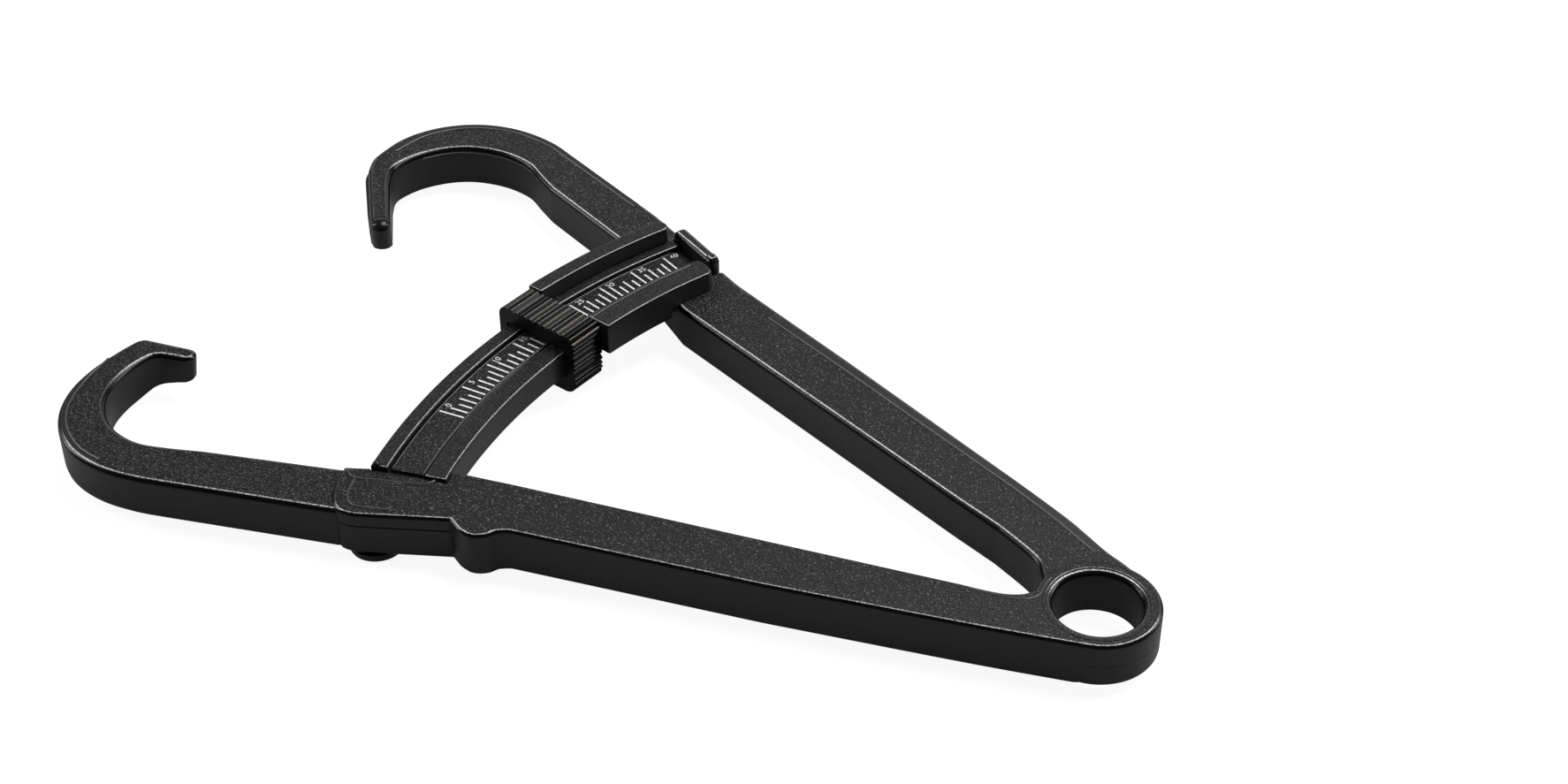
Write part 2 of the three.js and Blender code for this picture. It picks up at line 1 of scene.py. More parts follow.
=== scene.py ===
"""Looks of a skinfold caliper: black moulded arms, a curved scale, guide rails and a ribbed slider.

Sizes are in millimetres about the hinge axis, with the underside of the arms at height zero.
A piece is placed in the frame, in metres, when its mesh is finished.
"""

import json
import logging
import math
from dataclasses import dataclass
from enum import Enum
from typing import Callable

import bmesh
import bpy
from mathutils import Matrix, Vector


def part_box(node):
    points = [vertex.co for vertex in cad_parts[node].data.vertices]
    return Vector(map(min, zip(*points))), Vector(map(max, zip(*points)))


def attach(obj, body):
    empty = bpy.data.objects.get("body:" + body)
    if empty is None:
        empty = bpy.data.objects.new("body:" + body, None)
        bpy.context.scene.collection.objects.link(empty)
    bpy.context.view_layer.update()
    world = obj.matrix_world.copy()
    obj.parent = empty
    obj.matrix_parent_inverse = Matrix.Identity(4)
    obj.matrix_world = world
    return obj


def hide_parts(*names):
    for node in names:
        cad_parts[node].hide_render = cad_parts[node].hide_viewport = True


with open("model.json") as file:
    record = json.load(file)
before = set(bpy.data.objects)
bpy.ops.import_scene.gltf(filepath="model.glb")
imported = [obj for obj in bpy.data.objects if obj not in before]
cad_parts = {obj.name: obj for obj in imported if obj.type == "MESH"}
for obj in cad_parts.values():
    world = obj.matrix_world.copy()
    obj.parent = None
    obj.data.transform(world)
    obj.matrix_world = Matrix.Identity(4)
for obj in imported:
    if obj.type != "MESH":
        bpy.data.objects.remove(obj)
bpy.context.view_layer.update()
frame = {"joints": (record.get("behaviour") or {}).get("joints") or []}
LOG = logging.getLogger("caliper")

MM = 0.001
Pair = tuple[float, float]
Triple = tuple[float, float, float]
Shape = bmesh.types.BMesh
Socket = bpy.types.NodeSocket


class Body(Enum):
    """The bodies that pieces ride on."""

    LOWER = "lower_body"
    UPPER = "upper_body"
    SLIDER = "slider_body"


class Slot(Enum):
    """The record's material slots."""

    ARM = "arm_plastic"
    BUSH = "bush_plastic"
    ARC = "arc_plastic"
    SCALE = "scale_print"
    SLIDER = "slider_plastic"
    SPRING = "spring_steel"
    SCREW = "screw_steel"


def polar(radius: float, degrees: float) -> Pair:
    """The place at a distance and a direction from the hinge."""
    angle = math.radians(degrees)
    return (radius * math.cos(angle), radius * math.sin(angle))


def degrees_along(length: float, radius: float) -> float:
    """The angle that a length takes on a circle about the hinge, in degrees."""
    return math.degrees(length / radius)


@dataclass(frozen=True)
class Layout:
    """Sizes that several pieces share, as the solids have them. Directions and turns are in degrees."""

    arm_height: float = 8.1
    arm_edge: float = 0.95
    jaw_drop: float = 0.4
    hole_radius: float = 6.8
    bush_outer: float = 7.5
    eye_radius: float = 9.7
    lip_radius: float = 8.3
    lip_depth: float = 0.8
    arc_radius: float = 110.2
    arc_inner: float = 103.8
    arc_outer: float = 116.6
    arc_proud: float = 0.8
    arc_thick: float = 5.0
    arc_start: float = 125.1
    arc_end: float = 164.4
    strip_inner: float = 107.6
    strip_outer: float = 113.4
    strip_recess: float = 1.1
    strip_thick: float = 0.6
    rail_rise: float = 3.8
    tongue_thick: float = 1.6
    pin_radius: float = 1.5
    seam: float = 0.25
    running_gap: float = 0.3
    hairline: float = 0.03
    overcut: float = 1.0
    trim_rise: float = 0.04
    block_turn: float = 6.0
    end_turn: float = 0.15

    @property
    def arc_top(self) -> float:
        """Height of the arc's outer band."""
        return self.arm_height + self.arc_proud

    @property
    def arc_bottom(self) -> float:
        """Height of the arc's underside."""
        return self.arc_top - self.arc_thick

    @property
    def strip_floor(self) -> float:
        """Height of the recess that the strip lies in."""
        return self.arc_top - self.strip_recess

    @property
    def strip_face(self) -> float:
        """Height of the strip's face."""
        return self.strip_floor + self.strip_thick

    @property
    def rail_top(self) -> float:
        """Height of the guide rails."""
        return self.arm_height + self.rail_rise

    @property
    def cover_bottom(self) -> float:
        """Height of the cover plate's underside."""
        return self.arc_bottom + self.tongue_thick + self.seam

    @property
    def pin_place(self) -> Pair:
        """Where the pin stands."""
        return polar(113.8, 167.7)

    @property
    def block(self) -> Pair:
        """Where the arc's middle line meets the lower arm."""
        return polar(self.arc_radius, self.arc_end)

    @property
    def notch(self) -> Pair:
        """Where the arc's middle line meets the upper arm."""
        return polar(self.arc_radius, self.arc_start)

    @property
    def stop_end(self) -> float:
        """Direction of the end stop's inner face."""
        return self.arc_start - degrees_along(self.seam, self.arc_radius)


LAYOUT = Layout()


def hinge_place() -> Vector:
    """The hinge axis at the height of the arms' underside, in the frame.

    Returns:
        The point in metres.
    """
    joint = next(j for j in frame["joints"] if j["name"] == "arm_hinge")
    return Vector((joint["pos_m"][0], joint["pos_m"][1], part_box("lower_arm")[0].z))


PLACE = Matrix.Translation(hinge_place()) @ Matrix.Scale(MM, 4)


class Outline:
    """A closed line on the plan, drawn from corners, smooth curves and arcs."""

    def __init__(self, origin: Pair = (0.0, 0.0)) -> None:
        """Starts an empty outline.

        Args:
            origin: Where the pairs that follow are measured from.
        """
        self.origin = origin
        self.points: list[Pair] = []

    def about(self, origin: Pair) -> "Outline":
        """Measures the next pairs from another origin."""
        self.origin = origin
        return self

    def corners(self, *pairs: Pair) -> "Outline":
        """Adds straight stretches to each pair."""
        self.points += [(self.origin[0] + x, self.origin[1] + y) for x, y in pairs]
        return self

    def arc(self, radius: float, start: float, end: float, step: float = 5.0) -> "Outline":
        """Adds an arc about the origin.

        Args:
            radius: The arc's radius.
            start: Its first direction in degrees.
            end: Its last direction in degrees.
            step: The angle between points.

        Returns:
            The outline itself.
        """
        count = max(2, round(abs(end - start) / step))
        turns = [math.radians(start + (end - start) * i / count) for i in range(count + 1)]
        return self.corners(*((radius * math.cos(t), radius * math.sin(t)) for t in turns))

    def curve(self, *pairs: Pair, spacing: float = 0.9) -> "Outline":
        """Adds a smooth curve from the last point through each pair.

        Args:
            pairs: The points that the curve passes.
            spacing: The distance between the points on it.

        Returns:
            The outline itself.
        """
        through = [self.points[-1]] + [(self.origin[0] + x, self.origin[1] + y) for x, y in pairs]
        for i in range(len(through) - 1):
            before = through[max(i - 1, 0)]
            start, end = through[i], through[i + 1]
            after = through[min(i + 2, len(through) - 1)]
            count = max(1, round(math.dist(start, end) / spacing))
            for k in range(1, count + 1):
                t = k / count
                self.points.append(tuple(
                    0.5 * (2 * b + (c - a) * t + (2 * a - 5 * b + 4 * c - d) * t * t
                           + (3 * b - a - 3 * c + d) * t ** 3)
                    for a, b, c, d in zip(before, start, end, after)
                ))
        return self


def loop_mesh(points: list[Triple]) -> Shape:
    """A mesh of one face through the points.

    Args:
        points: The face's corners in order.

    Returns:
        The new mesh.
    """
    bm = bmesh.new()
    bm.faces.new([bm.verts.new(p) for p in points])
    return bm


def pulled(bm: Shape, way: Triple) -> Shape:
    """Pulls a mesh's faces along a way into a solid.

    Args:
        bm: The mesh, which is changed.
        way: How far the faces are pulled.

    Returns:
        The same mesh.
    """
    made = bmesh.ops.extrude_face_region(bm, geom=bm.faces[:])["geom"]
    bmesh.ops.translate(bm, vec=way, verts=[v for v in made if isinstance(v, bmesh.types.BMVert)])
    bmesh.ops.recalc_face_normals(bm, faces=bm.faces[:])
    return bm


def bend(centre: Pair, across: float, up: float, turns: range) -> list[Pair]:
    """Points round a bend of a cross-section.

    Args:
        centre: The bend's centre.
        across: Its reach to the side.
        up: Its reach upward.
        turns: The directions of the points in degrees.

    Returns:
        The points.
    """
    angles = [math.radians(turn) for turn in turns]
    return [(centre[0] + across * math.cos(a), centre[1] + up * math.sin(a)) for a in angles]


def round_edges(
    bm: Shape,
    radius: float,
    segments: int = 3,
    angle: float = 35.0,
    where: Callable[[bmesh.types.BMEdge], bool] = lambda edge: True,
) -> None:
    """Rounds the sharp edges of a mesh.

    Args:
        bm: The mesh.
        radius: The rounding.
        segments: Faces across the rounding.
        angle: Edges that fold by more than this, in degrees, count as sharp.
        where: Says which of them are rounded.
    """
    limit = math.radians(angle)
    edges = [e for e in bm.edges if e.is_manifold and e.calc_face_angle(0.0) > limit and where(e)]
    bmesh.ops.bevel(
        bm, geom=edges, offset=radius, offset_type="OFFSET", segments=segments,
        profile=0.5, affect="EDGES", clamp_overlap=True, material=-1,
    )


def plate(points: list[Pair], bottom: float, top: float, edge: float = 0.0, segments: int = 4) -> Shape:
    """A flat plate with the given outline, its upper and lower edges rounded.

    Args:
        points: The outline.
        bottom: The height of its underside.
        top: The height of its top.
        edge: The rounding of its edges.
        segments: Faces across the rounding.

    Returns:
        The new mesh.
    """
    bm = loop_mesh([(x, y, bottom) for x, y in points])
    bmesh.ops.recalc_face_normals(bm, faces=bm.faces[:])
    pulled(bm, (0.0, 0.0, top - bottom))
    if edge > 0:
        def flat(e: bmesh.types.BMEdge) -> bool:
            """Whether the edge lies level."""
            return abs(e.verts[0].co.z - e.verts[1].co.z) < 1e-4

        round_edges(bm, edge, segments, 50.0, flat)
    return bm


def disc(radius: float, bottom: float, top: float, place: Pair = (0.0, 0.0), segments: int = 96) -> Shape:
    """A round block or hole standing at a place.

    Args:
        radius: Its radius.
        bottom: The height of its underside.
        top: The height of its top.
        place: Where it stands.
        segments: Faces around.

    Returns:
        The new mesh.
    """
    bm = bmesh.new()
    matrix = Matrix.Translation((place[0], place[1], (bottom + top) / 2))
    bmesh.ops.create_cone(
        bm, cap_ends=True, segments=segments, radius1=radius, radius2=radius, depth=top - bottom,
        matrix=matrix,
    )
    return bm


def turned(profile: list[Pair], place: Pair = (0.0, 0.0), steps: int = 96) -> Shape:
    """The body that a line of radius and height pairs sweeps about a vertical axis.

    Args:
        profile: The line. It starts and ends on the axis, or closes on itself.
        place: Where the axis stands.
        steps: Faces around.

    Returns:
        The new mesh.
    """
    bm = bmesh.new()
    verts = [bm.verts.new((place[0] + r, place[1], z)) for r, z in profile]
    edges = [bm.edges.new((verts[i], verts[i + 1])) for i in range(len(verts) - 1)]
    if min(r for r, _ in profile) > 1e-6:
        edges.append(bm.edges.new((verts[-1], verts[0])))
    bmesh.ops.spin(
        bm, geom=verts + edges, cent=(place[0], place[1], 0), axis=(0, 0, 1),
        angle=math.tau, steps=steps, use_merge=True,
    )
    bmesh.ops.remove_doubles(bm, verts=bm.verts[:], dist=1e-4)
    bmesh.ops.recalc_face_normals(bm, faces=bm.faces[:])
    return bm


def swept(profile: list[Pair], start: float, end: float, step: float = 0.8) -> Shape:
    """A closed cross-section of radius and height pairs, swept about the hinge between two directions.

    Args:
        profile: The cross-section.
        start: The first direction in degrees.
        end: The last direction in degrees.
        step: The angle between sections.

    Returns:
        The new mesh.
    """
    bm = loop_mesh([(*polar(r, start), z) for r, z in profile])
    bmesh.ops.spin(
        bm, geom=bm.verts[:] + bm.edges[:] + bm.faces[:], cent=(0, 0, 0), axis=(0, 0, 1),
        angle=math.radians(end - start), steps=max(2, round((end - start) / step)),
    )
    bmesh.ops.remove_doubles(bm, verts=bm.verts[:], dist=1e-4)
    bmesh.ops.recalc_face_normals(bm, faces=bm.faces[:])
    return bm


def box(inner: float, outer: float, start: float, end: float, bottom: float, top: float) -> Shape:
    """A stretch of a ring with a square section, for cutting."""
    return swept([(inner, bottom), (outer, bottom), (outer, top), (inner, top)], start, end, 1.0)


def arc_room(start: float, end: float, bottom: float) -> Shape:
    """The arc's room in an arm, with its running gap beside it, for cutting.

    Args:
        start: Its first direction in degrees.
        end: Its last direction in degrees.
        bottom: The height that it starts at.

    Returns:
        The new mesh.
    """
    size = LAYOUT
    inner, outer = size.arc_inner - size.running_gap, size.arc_outer + size.running_gap
    return box(inner, outer, start, end, bottom, size.arm_height + size.overcut)


def new_object(bm: Shape, name: str) -> bpy.types.Object:
    """Turns a mesh into an object of the scene.

    Args:
        bm: The mesh, which is freed.
        name: The object's name.

    Returns:
        The new object.
    """
    mesh = bpy.data.meshes.new(name)
    bm.to_mesh(mesh)
    bm.free()
    made = bpy.data.objects.new(name, mesh)
    bpy.context.scene.collection.objects.link(made)
    return made


def evaluated(made: bpy.types.Object) -> bpy.types.Mesh:
    """A new mesh of the object as its modifiers or its curve make it."""
    return bpy.data.meshes.new_from_object(made.evaluated_get(bpy.context.evaluated_depsgraph_get()))


def curve_mesh(curve: bpy.types.Curve) -> bpy.types.Mesh:
    """Turns a curve or a text into a mesh.

    Args:
        curve: The curve or text, which is removed.

    Returns:
        The new mesh.
    """
    made = bpy.data.objects.new(curve.name, curve)
    bpy.context.scene.collection.objects.link(made)
    mesh = evaluated(made)
    bpy.data.objects.remove(made)
    bpy.data.curves.remove(curve)
    return mesh


def joined(base: Shape, others: list[Shape], operation: str) -> Shape:
    """Cuts meshes from a mesh, adds them to it or keeps what they share.

    Args:
        base: The mesh to change, which is freed.
        others: The other meshes, which are freed.
        operation: DIFFERENCE, UNION or INTERSECT.

    Returns:
        The new mesh.
    """
    target = new_object(base, "joined")
    tools = [new_object(other, "tool") for other in others]
    for tool in tools:
        modifier = target.modifiers.new("join", "BOOLEAN")
        modifier.operation = operation
        modifier.solver = "EXACT"
        modifier.object = tool
    result = evaluated(target)
    bm = bmesh.new()
    bm.from_mesh(result)
    bpy.data.meshes.remove(result)
    for used in [target, *tools]:
        mesh = used.data
        bpy.data.objects.remove(used)
        bpy.data.meshes.remove(mesh)
    bmesh.ops.remove_doubles(bm, verts=bm.verts[:], dist=2e-4)
    bmesh.ops.dissolve_degenerate(bm, edges=bm.edges[:], dist=2e-4)
    return bm


def cut(base: Shape, *tools: Shape) -> Shape:
    """Cuts each of the tools from the base."""
    return joined(base, list(tools), "DIFFERENCE")


def added(base: Shape, *tools: Shape) -> Shape:
    """Adds each of the tools to the base."""
    return joined(base, list(tools), "UNION")


class NodeSheet:
    """A material's node tree, written a node at a time."""

    def __init__(self, name: str) -> None:
        """Makes an empty material.

        Args:
            name: The material's name.
        """
        self.material = bpy.data.materials.new(name)
        self.material.use_nodes = True
        self.tree = self.material.node_tree
        self.tree.nodes.clear()

    def node(self, kind: str, inputs: dict | None = None, **settings: object) -> bpy.types.Node:
        """Adds a node.

        Args:
            kind: The node's type name.
            inputs: For each socket, a value or the output that feeds it.
            settings: The node's own properties.

        Returns:
            The new node.
        """
        made = self.tree.nodes.new(kind)
        for key, value in settings.items():
            setattr(made, key, value)
        for key, value in (inputs or {}).items():
            if isinstance(value, Socket):
                self.tree.links.new(value, made.inputs[key])
            else:
                made.inputs[key].default_value = value
        return made

    def math(self, operation: str, first: object, second: object = 0.5, third: object = 0.5) -> Socket:
        """Adds a sum on two or three values and returns its result."""
        return self.node("ShaderNodeMath", {0: first, 1: second, 2: third}, operation=operation).outputs[0]

    def ramp(
        self, value: object, low: float, high: float, to_low: object = 0.0, to_high: float = 1.0
    ) -> Socket:
        """Adds a smooth step from one value range to another and returns its result."""
        return self.node(
            "ShaderNodeMapRange",
            {"Value": value, "From Min": low, "From Max": high, "To Min": to_low, "To Max": to_high},
            interpolation_type="SMOOTHSTEP",
        ).outputs["Result"]

    def mix(self, share: object, first: object, second: object) -> Socket:
        """Adds a mix of two colours.

        Args:
            share: How much of the second colour there is.
            first: The first colour.
            second: The second colour.

        Returns:
            The mixed colour.
        """
        made = self.node("ShaderNodeMix", {"Factor": share}, data_type="RGBA")
        for index, value in ((6, first), (7, second)):
            if isinstance(value, Socket):
                self.tree.links.new(value, made.inputs[index])
            else:
                made.inputs[index].default_value = (*value, 1.0)
        return made.outputs[2]

    def noise(self, place: object, scale: float, detail: float, roughness: float = 0.5) -> Socket:
        """Adds a noise over a place and returns its value."""
        inputs = {"Vector": place, "Scale": scale, "Detail": detail, "Roughness": roughness}
        return self.node("ShaderNodeTexNoise", inputs).outputs["Fac"]

    def finish(self, shader: bpy.types.Node) -> bpy.types.Material:
        """Links the shader to the output and returns the material."""
        self.node("ShaderNodeOutputMaterial", {"Surface": shader.outputs[0]})
        return self.material


@dataclass(frozen=True)
class MouldedPlastic:
    """Black moulded plastic: grained flat faces with light flecks that are partly painted sheen, smooth
    glossy roundings painted near-black as a painted dark reflection, walls painted lighter as painted light,
    and a painted highlight in specks along the upper rims.
    """

    name: str
    face: Triple = (0.0062, 0.0062, 0.0074)
    # Light flecks on the grain crests: partly the grain's own specks, partly a painted sheen where the
    # crests catch light.
    fleck: Triple = (0.245, 0.245, 0.270)
    # Walls are painted lighter than the roundings: painted light.
    wall: Triple = (0.0215, 0.0210, 0.0205)
    # Roundings are painted near-black: a painted dark reflection.
    rounding: Triple = (0.0022, 0.0021, 0.0020)
    # Colour of the painted highlight along the upper rims.
    wear_and_highlight_colour: Triple = (0.92, 0.92, 0.93)
    face_roughness: float = 0.46
    wall_roughness: float = 0.36
    rounding_roughness: float = 0.24
    grain_size: float = 0.42
    grain_depth: float = 0.2
    # Strength of the painted rim highlight.
    wear_and_highlight_share: float = 0.95
    specular: float = 0.36
    # How far the painted rim highlight reaches as rims turn away from the camera's side.
    highlight_from: float = -0.62
    highlight_to: float = -0.2

    def material(self) -> bpy.types.Material:
        """Builds the material.

        Returns:
            The material, ready to put on a piece.
        """
        sheet = NodeSheet(self.name)
        coordinates = sheet.node("ShaderNodeTexCoord")
        place = coordinates.outputs["Object"]
        facing = sheet.node("ShaderNodeSeparateXYZ", {"Vector": coordinates.outputs["Normal"]})
        tilt = sheet.math("ABSOLUTE", facing.outputs["Z"])
        level = sheet.ramp(tilt, 0.985, 0.997)
        upright = sheet.ramp(tilt, 0.03, 0.18, 1.0, 0.0)
        scale = 1.0 / (self.grain_size * MM)
        warp = sheet.node("ShaderNodeTexNoise", {"Vector": place, "Scale": scale * 0.45, "Detail": 2.0})
        bent = sheet.node(
            "ShaderNodeVectorMath",
            {0: warp.outputs["Color"], 1: (self.grain_size * MM * 1.6,) * 3},
            operation="MULTIPLY",
        )
        moved = sheet.node("ShaderNodeVectorMath", {0: place, 1: bent.outputs[0]}, operation="ADD")
        pebble = sheet.node(
            "ShaderNodeTexVoronoi", {"Vector": moved.outputs[0], "Scale": scale, "Smoothness": 0.3},
            feature="SMOOTH_F1",
        ).outputs["Distance"]
        fine = sheet.noise(place, scale * 1.5, 3.0, 0.6)
        broad = sheet.noise(place, 90.0, 3.0, 0.55)
        crest = sheet.ramp(pebble, 0.12, 0.58, 1.0, 0.0)
        # Light flecks on the grain crests, partly painted sheen.
        flecks = sheet.math("MULTIPLY", sheet.ramp(fine, 0.50, 0.62), crest)
        tone = sheet.mix(sheet.math("MULTIPLY", flecks, level), self.face, self.fleck)
        shaded = sheet.mix(sheet.ramp(broad, 0.35, 0.7, 0.0, 0.22), tone, self.face)
        # Painted highlight along the upper rims, stronger where they face the camera.
        rim_highlight = self.painted_rim_highlight(sheet, place, facing)
        # Walls and roundings are lit and shaded copies of one plastic, picked by how upright the surface is.
        side = sheet.mix(upright, self.rounding, self.wall)
        colour = sheet.mix(rim_highlight, sheet.mix(level, side, shaded), self.wear_and_highlight_colour)
        height = sheet.math("ADD", sheet.math("MULTIPLY", crest, level), sheet.math("MULTIPLY", fine, 0.18))
        bump = sheet.node(
            "ShaderNodeBump", {"Height": height, "Strength": 0.8, "Distance": self.grain_depth * MM}
        )
        smooth = sheet.math(
            "MULTIPLY_ADD", upright, self.wall_roughness - self.rounding_roughness, self.rounding_roughness
        )
        grained = sheet.math("MULTIPLY", level, sheet.math("SUBTRACT", self.face_roughness, smooth))
        rough = sheet.math("ADD", smooth, grained)
        uneven = sheet.math("MULTIPLY_ADD", broad, 0.10, -0.05)
        shader = sheet.node(
            "ShaderNodeBsdfPrincipled",
            {
                "Base Color": colour,
                "Roughness": sheet.math("ADD", rough, uneven),
                "Specular IOR Level": self.specular,
                "Normal": bump.outputs["Normal"],
            },
        )
        return sheet.finish(shader)

    def painted_rim_highlight(self, sheet: NodeSheet, place: Socket, facing: bpy.types.Node) -> Socket:
        """Adds the painted highlight along the upper rims, broken into specks, strongest where the rims face
        the camera's side.

        Args:
            sheet: The material's nodes.
            place: The place on the piece.
            facing: The parts of the way that the surface faces.

        Returns:
            How much painted highlight the surface takes.
        """
        rise = facing.outputs["Z"]
        rim = sheet.math("MULTIPLY", sheet.ramp(rise, 0.90, 0.945), sheet.ramp(rise, 0.989, 0.998, 1.0, 0.0))
        sideways = sheet.math("MULTIPLY_ADD", rise, sheet.math("MULTIPLY", rise, -1.0), 1.0)
        lean = sheet.math("SQRT", sheet.math("MAXIMUM", sideways, 0.002))
        toward = sheet.math("DIVIDE", facing.outputs["Y"], lean)
        # The painted highlight is strongest on rims facing -Y, toward the camera.
        sides = sheet.ramp(toward, self.highlight_from, self.highlight_to, 1.0, 0.1)
        front = sheet.ramp(toward, -0.96, -0.84, 0.72 * self.wear_and_highlight_share, self.wear_and_highlight_share)
        camera_side = sheet.math("MULTIPLY", sides, front)
        speck_noise = sheet.noise(place, 2600.0, 2.0, 0.7)
        least = sheet.ramp(toward, -0.95, -0.8, 0.2, 0.5)
        speckle = sheet.math("MULTIPLY", sheet.ramp(speck_noise, 0.38, 0.58, least, 1.0), camera_side)
        return sheet.math("MULTIPLY", rim, speckle)


@dataclass(frozen=True)
class BrushedSteel:
    """Steel of small screws and springs, with fine lines along it."""

    name: str
    colour: Triple = (0.42, 0.42, 0.43)
    dark: Triple = (0.2, 0.2, 0.21)
    roughness: float = 0.34

    def material(self) -> bpy.types.Material:
        """Builds the material.

        Returns:
            The material, ready to put on a piece.
        """
        sheet = NodeSheet(self.name)
        place = sheet.node("ShaderNodeTexCoord").outputs["Object"]
        stretched = sheet.node("ShaderNodeMapping", {"Vector": place, "Scale": (900.0, 9000.0, 9000.0)})
        lines = sheet.noise(stretched.outputs[0], 1.0, 3.0)
        bump = sheet.node("ShaderNodeBump", {"Height": lines, "Strength": 0.3, "Distance": 0.01 * MM})
        shader = sheet.node(
            "ShaderNodeBsdfPrincipled",
            {
                "Base Color": sheet.mix(lines, self.dark, self.colour),
                "Metallic": 1.0,
                "Roughness": sheet.math("MULTIPLY_ADD", lines, 0.2, self.roughness - 0.1),
                "Normal": bump.outputs["Normal"],
            },
        )
        return sheet.finish(shader)


@dataclass(frozen=True)
class PrintedMark:
    """White paint pressed into the scale, worn thin in places."""

    name: str
    colour: Triple = (0.95, 0.95, 0.94)
    # The colour where the paint is worn thin.
    wear_and_highlight_colour: Triple = (0.55, 0.55, 0.55)

    def material(self) -> bpy.types.Material:
        """Builds the material.

        Returns:
            The material, ready to put on a piece.
        """
        sheet = NodeSheet(self.name)
        place = sheet.node("ShaderNodeTexCoord").outputs["Object"]
        patches = sheet.noise(place, 1500.0, 3.0)
        # Where the paint is worn thin.
        wear_and_highlight_share = sheet.ramp(patches, 0.5, 0.68)
        bump = sheet.node("ShaderNodeBump", {"Height": patches, "Strength": 0.4, "Distance": 0.02 * MM})
        shader = sheet.node(
            "ShaderNodeBsdfPrincipled",
            {
                "Base Color": sheet.mix(wear_and_highlight_share, self.colour, self.wear_and_highlight_colour),
                "Roughness": sheet.math("MULTIPLY_ADD", wear_and_highlight_share, 0.15, 0.4),
                "Normal": bump.outputs["Normal"],
            },
        )
        return sheet.finish(shader)


class Finishes:
    """The materials of the caliper, each made once."""

    def __init__(self) -> None:
        """Builds every material."""
        self.arm = MouldedPlastic("grained_black").material()
        # The arc's painted rim highlight reaches rims turned further from the camera.
        self.arc = MouldedPlastic(
            "arc_black", face=(0.0095, 0.0095, 0.0105), fleck=(0.12, 0.12, 0.13), grain_size=0.36,
            highlight_from=-0.32, highlight_to=0.0,
        ).material()
        self.bush = MouldedPlastic("bush_black", wall=(0.006, 0.006, 0.006), wall_roughness=0.3).material()
        # The slider's rib crests take the painted rim highlight in a brown tone.
        self.slider = MouldedPlastic(
            "slider_black", face=(0.009, 0.007, 0.0056), fleck=(0.04, 0.032, 0.025),
            wall=(0.0060, 0.0050, 0.0044), wear_and_highlight_colour=(0.52, 0.45, 0.39), face_roughness=0.34,
            wall_roughness=0.4, grain_size=0.6, grain_depth=0.03, wear_and_highlight_share=0.66, specular=0.18,
        ).material()
        # Light grey finish for the fine raised lines: a painted highlight on black plastic.
        self.line = MouldedPlastic(
            "painted_highlight_line", face=(0.20, 0.20, 0.205), fleck=(0.42, 0.42, 0.43), wall=(0.03, 0.03, 0.03),
            rounding=(0.10, 0.10, 0.102), wear_and_highlight_colour=(0.34, 0.34, 0.35), face_roughness=0.3,
            rounding_roughness=0.3, grain_depth=0.02,
        ).material()
        # Lighter finish for the embossed contours and the crotch ridge: a painted highlight on raised black
        # plastic.
        self.bead = MouldedPlastic(
            "embossed_black", face=(0.10, 0.10, 0.102), fleck=(0.17, 0.17, 0.175), wall=(0.04, 0.04, 0.04),
            rounding=(0.085, 0.085, 0.087), wear_and_highlight_colour=(0.17, 0.17, 0.175), grain_depth=0.03, wear_and_highlight_share=0.8,
        ).material()
        self.band = MouldedPlastic(
            "edge_black", face=(0.024, 0.024, 0.0245), fleck=(0.036, 0.036, 0.037), wall=(0.05, 0.05, 0.05),
            rounding=(0.04, 0.04, 0.04), face_roughness=0.4, grain_depth=0.02, wear_and_highlight_share=0.5,
        ).material()
        self.smooth = MouldedPlastic(
            "polished_black", face=(0.012, 0.012, 0.0125), fleck=(0.016, 0.016, 0.017),
            wall=(0.018, 0.018, 0.018), rounding=(0.009, 0.009, 0.009), face_roughness=0.3,
            wall_roughness=0.3, grain_depth=0.01, wear_and_highlight_share=0.0,
        ).material()
        self.screw = BrushedSteel("dark_screw_steel", (0.3, 0.3, 0.31), (0.14, 0.14, 0.15)).material()
        self.spring = BrushedSteel("spring_steel").material()
        self.mark = PrintedMark("white_marks").material()


@dataclass
class Piece:
    """One finished piece: what it is called, rides on, takes its finish from and stands for."""

    name: str
    body: Body
    slot: Slot
    replaces: tuple[str, ...] = ()
    smooth_angle: float = 32.0

    def place(self, bm: Shape, material: bpy.types.Material) -> None:
        """Places the mesh in the frame, dresses it and reports it.

        Args:
            bm: The mesh in millimetres about the hinge, which is freed.
            material: The piece's material.
        """
        bmesh.ops.transform(bm, matrix=PLACE, verts=bm.verts[:])
        made = new_object(bm, self.name)
        made.data.polygons.foreach_set("use_smooth", [True] * len(made.data.polygons))
        made.data.set_sharp_from_angle(angle=math.radians(self.smooth_angle))
        weighted = made.modifiers.new("even_shading", "WEIGHTED_NORMAL")
        weighted.keep_sharp = True
        weighted.weight = 100
        made.data.materials.append(material)
        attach(made, self.body.value)
        if self.replaces:
            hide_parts(*self.replaces)
        LOG.info("%s: %d faces on %s", self.name, len(made.data.polygons), self.body.value)


@dataclass
class Assembly:
    """A sub-assembly of the caliper, with the finishes that its pieces take."""

    finishes: Finishes


def ridge(points: list[Pair], height: float, width: float) -> Shape:
    """A fine round line along points on the plan.

    Args:
        points: The line's course.
        height: The height of its axis.
        width: The line's width.

    Returns:
        The new mesh.
    """
    curve = bpy.data.curves.new("line", "CURVE")
    curve.dimensions = "3D"
    curve.bevel_depth = width / 2
    curve.bevel_resolution = 2
    curve.use_fill_caps = True
    spline = curve.splines.new("POLY")
    spline.points.add(len(points) - 1)
    for point, (x, y) in zip(spline.points, points):
        point.co = (x, y, height, 1.0)
    mesh = curve_mesh(curve)
    bm = bmesh.new()
    bm.from_mesh(mesh)
    bpy.data.meshes.remove(mesh)
    bmesh.ops.remove_doubles(bm, verts=bm.verts[:], dist=1e-5)
    bmesh.ops.recalc_face_normals(bm, faces=bm.faces[:])
    return bm


